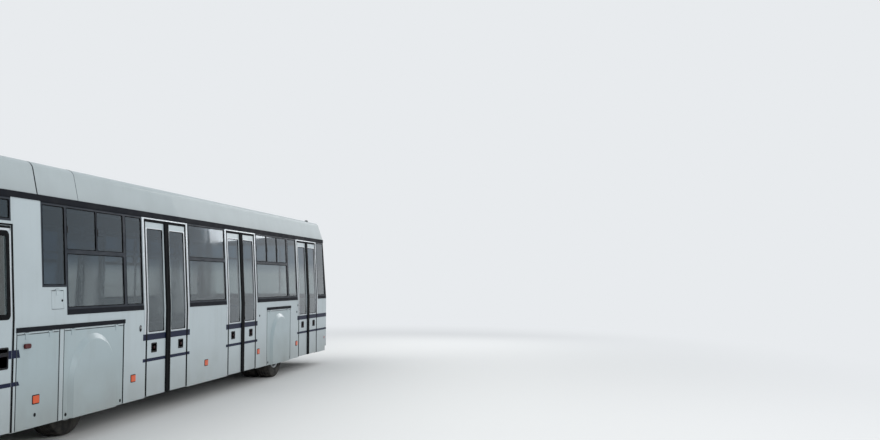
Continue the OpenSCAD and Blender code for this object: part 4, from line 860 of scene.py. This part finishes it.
# %% Tail lamps in three colours
LENSES = {"tail_amber": (lamp_amber, 0.98, 1.118), "tail_red": (lamp_red, 0.835, 0.976),
          "tail_white": (lamp_white, 0.682, 0.831)}
for name, (finish, z0, z1) in LENSES.items():
    cover = end_patch(rear_x, 1.142, z0, 1.288, z1, -0.03, 0.0035)
    for side_name, thing in pair(name, [cover], finish, bevel=0.003):
        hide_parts("tail_lamps")
pair("tail_seat", [end_patch(rear_x, 1.1405, 0.6805, 1.2895, 1.1195, -0.038, -0.03)], black_plastic)

# %% [markdown]
# ## Mirrors
# Bus mirrors hang ahead of the cab on bent tubes. The housing is a squashed rounded box: a sphere's sines and
# cosines are raised to a power below one, which fills its corners. The glass is a flat plate in its back.

# %% Mirrors
def rounded_shell(centre, size, power=0.35, m=24, n=36):
    """Superellipsoid: cosines and sines keep their sign and are raised to a power below one."""
    a = np.linspace(-math.pi / 2, math.pi / 2, m)[1:-1, None]
    b = round_turn(n)[None, :]

    def lift(v):
        return np.sign(v) * np.abs(v) ** power
    across = lift(np.cos(a))
    unit = np.stack([across * lift(np.cos(b)), across * lift(np.sin(b)), lift(np.sin(a)) + 0 * b], -1)
    return swept(unit * np.asarray(size, float) / 2 + np.asarray(centre, float))


MIRROR_X, MIRROR_Y, MIRROR_Z = 6.56, HALF_W + 0.2, 2.35
root = float(wall_y(MIRROR_Z)) - 0.002
bend = [(root, 0), (1.6, 0), (1.675, 0.003), (1.694, 0.012)] + [(MIRROR_Y, drop) for drop in (0.04, 0.3, 0.54)]
tube = piped([(MIRROR_X, y, MIRROR_Z - drop) for y, drop in bend], 0.0145, 14)
FOOT_DISC = [(0, 0.0), (0.034, 0.0), (0.034, 0.008), (0.022, 0.016), (0, 0.016)]
foot = turned(FOOT_DISC, (MIRROR_X, root, MIRROR_Z), "y", 28)
shell = rounded_shell((MIRROR_X - 0.01, MIRROR_Y, MIRROR_Z - 0.31), (0.079, 0.188, 0.378))
for side_name, thing in pair("mirror", [tube, foot, shell], black_plastic):
    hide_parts("mirrors")
outline = corner_outline(MIRROR_Y - 0.08, MIRROR_Z - 0.485, MIRROR_Y + 0.08, MIRROR_Z - 0.135, 0.03, 8)
pair("mirror_glass", [along(outline, MIRROR_X - 0.0492, MIRROR_X - 0.0455)], mirror_face)

# %% [markdown]
# ## Roof
# The roof carries two hatches with ribs, and a small dark aerial base towards the rear on the left.

# %% Hatch ribs and aerial base
ribs = [along(corner_outline(y - 0.012, 3.1775, y + 0.012, 3.1815, 0.0018, 3), x - 0.37, x + 0.37)
        for x in (REAR_AXLE, DOORS[2]) for y in np.linspace(-0.24, 0.24, 7)]
piece("hatch_ribs", ribs, roof_paint)
piece("aerial_base", [rounded_shell((-6.05, 1.22, 3.128), (0.12, 0.06, 0.055), 0.8, 14, 24)], black_plastic)

# %% A sealed joint over the roof
CROWN_R, SHOULDER_R, JOINT_X = 22.18, 0.11, 4.25
ball_y = 1.3
for step in range(8):
    ball_z = CROWN - CROWN_R + math.sqrt((CROWN_R - SHOULDER_R) ** 2 - ball_y ** 2)
    ball_y = wall_y(COVER) - (SHOULDER_R + math.sin(ROOF_LEAN) * (ball_z - COVER)) / math.cos(ROOF_LEAN)
turn = np.linspace(ROOF_LEAN, math.acos(ball_y / (CROWN_R - SHOULDER_R)), 10)
over_y = np.linspace(ball_y + SHOULDER_R * math.cos(turn[-1]), 0, 20)[1:]
half_y = np.concatenate([[wall_y(COVER)], ball_y + SHOULDER_R * np.cos(turn), over_y])
half_z = np.concatenate([[COVER], ball_z + SHOULDER_R * np.sin(turn),
                         CROWN - CROWN_R + np.sqrt(CROWN_R ** 2 - over_y ** 2)])
arch = np.column_stack([np.append(half_y, -half_y[-2::-1]), np.append(half_z, half_z[-2::-1])])
piece("roof_joint_seal", [piped(np.insert(arch, 0, JOINT_X, axis=1), 0.0028, 8)], window_alloy)

# %% [markdown]
# ## Seats
# The rear bench and the two seats behind the cab are moulded shells with thin cloth pads. A pad is a rounded
# box that swells in the middle: its thickness follows the product of two arches, one each way.

# %% Pads and the driver's seat
def pad(u0, u1, v0, v1, thick, place, crown=0.5, n=22):
    """Closed cushion: rows of points over its face, swollen by the root of (1 - u^6)(1 - v^6), and a flat back.

    place turns (u, v, height) into a point of the bus."""
    t = np.linspace(-1, 1, n)
    u, v = np.meshgrid(t, t, indexing="ij")
    arch = np.clip((1 - u ** 6) * (1 - v ** 6), 0, 1) ** 0.5
    channel = 1 - 0.16 * np.exp(-((v * 3) % 1 - 0.5) ** 2 / 0.004) * (np.abs(v) < 0.95)
    at = (u0 + (u + 1) / 2 * (u1 - u0), v0 + (v + 1) / 2 * (v1 - v0))
    top = place(*at, thick * ((1 - crown) * (arch > 0) + crown * arch * channel) * arch ** 0.3)
    points = np.concatenate([top.reshape(-1, 3), place(*at, 0 * u).reshape(-1, 3)])
    return points, [grid_faces(n, n), grid_faces(n, n)[:, ::-1] + n * n]


def seat_frame(x, y, z, way, base, back):
    """Two ways to place a pad: on the seat's slope and on the leaning back."""
    def on_base(u, v, h):
        return np.stack([x + way * u, y + v, z + base[0] + u * base[1] + h], -1)

    def on_back(u, v, h):
        return np.stack([x + way * (back[0] - u * back[1] + h), y + v, z + back[2] + u], -1)
    return on_base, on_back


seats = [(-6.54, y, 0.365, 1) for y in (-0.75, -0.25, 0.25, 0.75)] + [(5.0, y, 1.05, -1) for y in (-1.0, 1.0)]
pads = []
for x, y, z, way in seats:
    on_base, on_back = seat_frame(x, y, z, way, (0.469, 0.05), (0.041, 0.186, 0.47))
    pads += [pad(0.05, 0.41, -0.2, 0.2, 0.03, on_base), pad(0.06, 0.39, -0.2, 0.2, 0.026, on_back)]
soft = piece("seat_pads", pads, seat_cloth)

# %% The driver's seat
SEAT_X, SEAT_Y = 5.70, 0.65
on_base, on_back = seat_frame(5.45, SEAT_Y, 0.825, 1, (0.42, 0.04), (0.055, 0.18, 0.47))
seat_parts = [pad(0.02, 0.5, -0.25, 0.25, 0.10, on_base),
              pad(0.02, 0.68, -0.245, 0.245, 0.085, lambda u, v, h: on_back(u, v, h - 0.06))]
driver_pad = piece("driver_seat_cushions", seat_parts, driver_cloth)
folds = [(0, 0)] + [(0.12 + 0.015 * (i % 2), 0.03 * i) for i in range(9)] + [(0, 0.24)]
seat_base = [rounded_shell((SEAT_X, SEAT_Y, 1.20), (0.46, 0.46, 0.10), 0.4),
             rounded_shell((5.37, SEAT_Y, 1.62), (0.1, 0.44, 0.66), 0.4),
             rounded_shell((SEAT_X, SEAT_Y, 0.86), (0.34, 0.36, 0.06), 0.3),
             turned(folds, (SEAT_X, SEAT_Y, 0.89), "z", 36)]
driver_base = piece("driver_seat_base", seat_base, black_plastic)
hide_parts("driver_seat")

# %% [markdown]
# ## The cab's controls and the saloon's fittings
# A hood on the dashboard carries round dials with plain ticks, and two pedals stand below it. In the saloon
# each grab pole ends in flanges and holds the rail with a clamp, and two rows of lamps run below the ceiling.

# %% Dials and pedals
DIAL_X, DIAL_Z, TICK_OUT = 6.419, 1.207, np.array([-0.0022, 0, 0])
hood = [rounded_shell((6.505, SEAT_Y, 1.195), (0.17, 0.46, 0.12), 0.5)]
bezels, needles, ticks = [], [], []
for y, r in ((-0.075, 0.043), (0.075, 0.043), (-0.16, 0.024), (0.16, 0.024)):
    centre = np.array([DIAL_X, SEAT_Y + y, DIAL_Z])
    drum = [(0, -0.014), (r - 0.003, -0.014), (r - 0.003, 0.002), (0, 0.002)]
    bezel = [(r - 0.004, -0.010), (r, -0.010), (r, 0.004), (r - 0.003, 0.006)]
    hood.append(turned(drum, centre, "x", 32, -1))
    bezels.append(turned(bezel, centre, "x", 32, -1))
    for a in np.radians(np.arange(-40, 221, 26)):
        way = r * np.array([0, math.cos(a), math.sin(a)])
        ticks.append(piped([centre + way * share + TICK_OUT for share in (0.66, 0.84)], 0.0009, 6))
    needles.append(piped([centre - [0.003, 0, 0], centre - [0.003, r * 0.5, -r * 0.35]], [0.0016, 0.0007], 6))
for y in (0.45, 0.61):
    hood.append(rounded_shell((6.33, y, 0.94), (0.03, 0.085, 0.13), 0.5, 12, 20))
    hood.append(piped([[6.34, y, 0.95], [6.41, y, 1.0], [6.475, y, 1.06]], 0.009, 10))
piece("instrument_hood", hood, black_plastic)
piece("dial_bezels", bezels, bright_steel)
piece("dial_ticks", ticks, plate_white)
piece("dial_needles", needles, lamp_amber)

# %% Pole flanges, clamps and ceiling lamps
POLE_Y, POLE_R, FLOOR, CEILING, RAIL_Z = 0.62, 0.0172, 0.3655, 2.6895, 2.25
FLANGE = [(POLE_R, 0), (0.045, 0), (0.045, 0.006), (0.030, 0.010), (POLE_R, 0.024)]
CLAMP = [(POLE_R, -0.034), (0.0235, -0.030), (0.0235, 0.030), (POLE_R, 0.034)]
fittings = []
for x in [door + k * 0.8 for door in DOORS for k in (-1, 1)]:
    fittings += [turned(FLANGE, (x, POLE_Y, z), "z", 24, way) for z, way in ((FLOOR, 1), (CEILING, -1))]
    fittings += [turned(CLAMP, (x, POLE_Y, RAIL_Z), axis, 24) for axis in "zx"]
pair("pole_fittings", fittings, bright_steel)
lamp_outline = corner_outline(0.97, CEILING - 0.0315, 1.09, CEILING, 0.014, 5)
pair("ceiling_lamps", [along(lamp_outline, x, x + 1.12) for x in np.arange(-6.3, 4.0, 1.2)], lamp_lit)

# %% [markdown]
# ## The ground and the light
# The bus stands on a plain pale floor that fades with distance into the backdrop's colour. Three broad soft
# lamps stand above it, to its left and behind it, and the backdrop is pale wherever a lens, a mirror or a pane
# looks at it.

# %% Floor, lamps and backdrop
BACKDROP = linear(232, 235, 238)
ground = Finish("pale_ground", (222, 222, 220), 0.9)
oval = ground.add("Mapping", ground.place, Scale=(0.55, 1, 1)).outputs[0]
reach = ground.add("VectorMath", oval, operation="LENGTH").outputs["Value"]
far = ground.add("MapRange", reach, 3.0, 15.0, interpolation_type="SMOOTHSTEP").outputs["Result"]
glow = ground.add("Emission", BACKDROP).outputs[0]
both = ground.add("MixShader", far, ground.shader.outputs[0], glow).outputs[0]
ground.put(ground.tree.nodes["Material Output"].inputs["Surface"], both)
floor_mesh = bpy.data.meshes.new("apron_floor")
floor_mesh.from_pydata([(-150, -150, 0), (150, -150, 0), (150, 150, 0), (-150, 150, 0)], [], [(0, 1, 2, 3)])
floor = bpy.data.objects.new("apron_floor", floor_mesh)
floor_mesh.materials.append(ground.owner)
bpy.context.collection.objects.link(floor)


def soft_lamp(name, place, aim, size, watts):
    """A square lamp that looks from its place to its aim."""
    data = bpy.data.lights.new(name, "AREA")
    data.size, data.energy = size, watts
    lamp = bpy.data.objects.new(name, data)
    lamp.location = place
    way = np.asarray(aim, float) - np.asarray(place, float)
    yaw, pitch = math.atan2(way[1], way[0]), math.atan2(math.hypot(way[0], way[1]), -way[2])
    lamp.rotation_euler = (pitch, 0, yaw - math.pi / 2)
    bpy.context.collection.objects.link(lamp)


soft_lamp("high_lamp", (2, -6, 14), (0, 0, 1.5), 12, 1500)
soft_lamp("left_lamp", (6, 16, 9), (0, 0, 1.5), 10, 1300)
soft_lamp("rear_lamp", (-16, 4, 7), (-3, 0, 1.5), 7, 500)

sky = Nodes(bpy.data.worlds.new("overcast"))
bpy.context.scene.world = sky.owner
back = sky.tree.nodes["Background"]
back.inputs["Color"].default_value = (0.78, 0.84, 0.9, 1)
back.inputs["Strength"].default_value = 0.55
rays = sky.add("LightPath").outputs
seen = sky.joined(rays["Is Camera Ray"], rays["Is Glossy Ray"], "ADD")
seen = sky.add("Math", seen, rays["Is Transmission Ray"], operation="ADD", use_clamp=True).outputs[0]
plain = sky.add("Background", BACKDROP).outputs[0]
pick = sky.add("MixShader", seen, back.outputs[0], plain).outputs[0]
sky.put(sky.tree.nodes["World Output"].inputs["Surface"], pick)
bpy.context.scene.view_settings.view_transform = "Standard"
print("lamps", [lamp.name for lamp in bpy.data.lights])
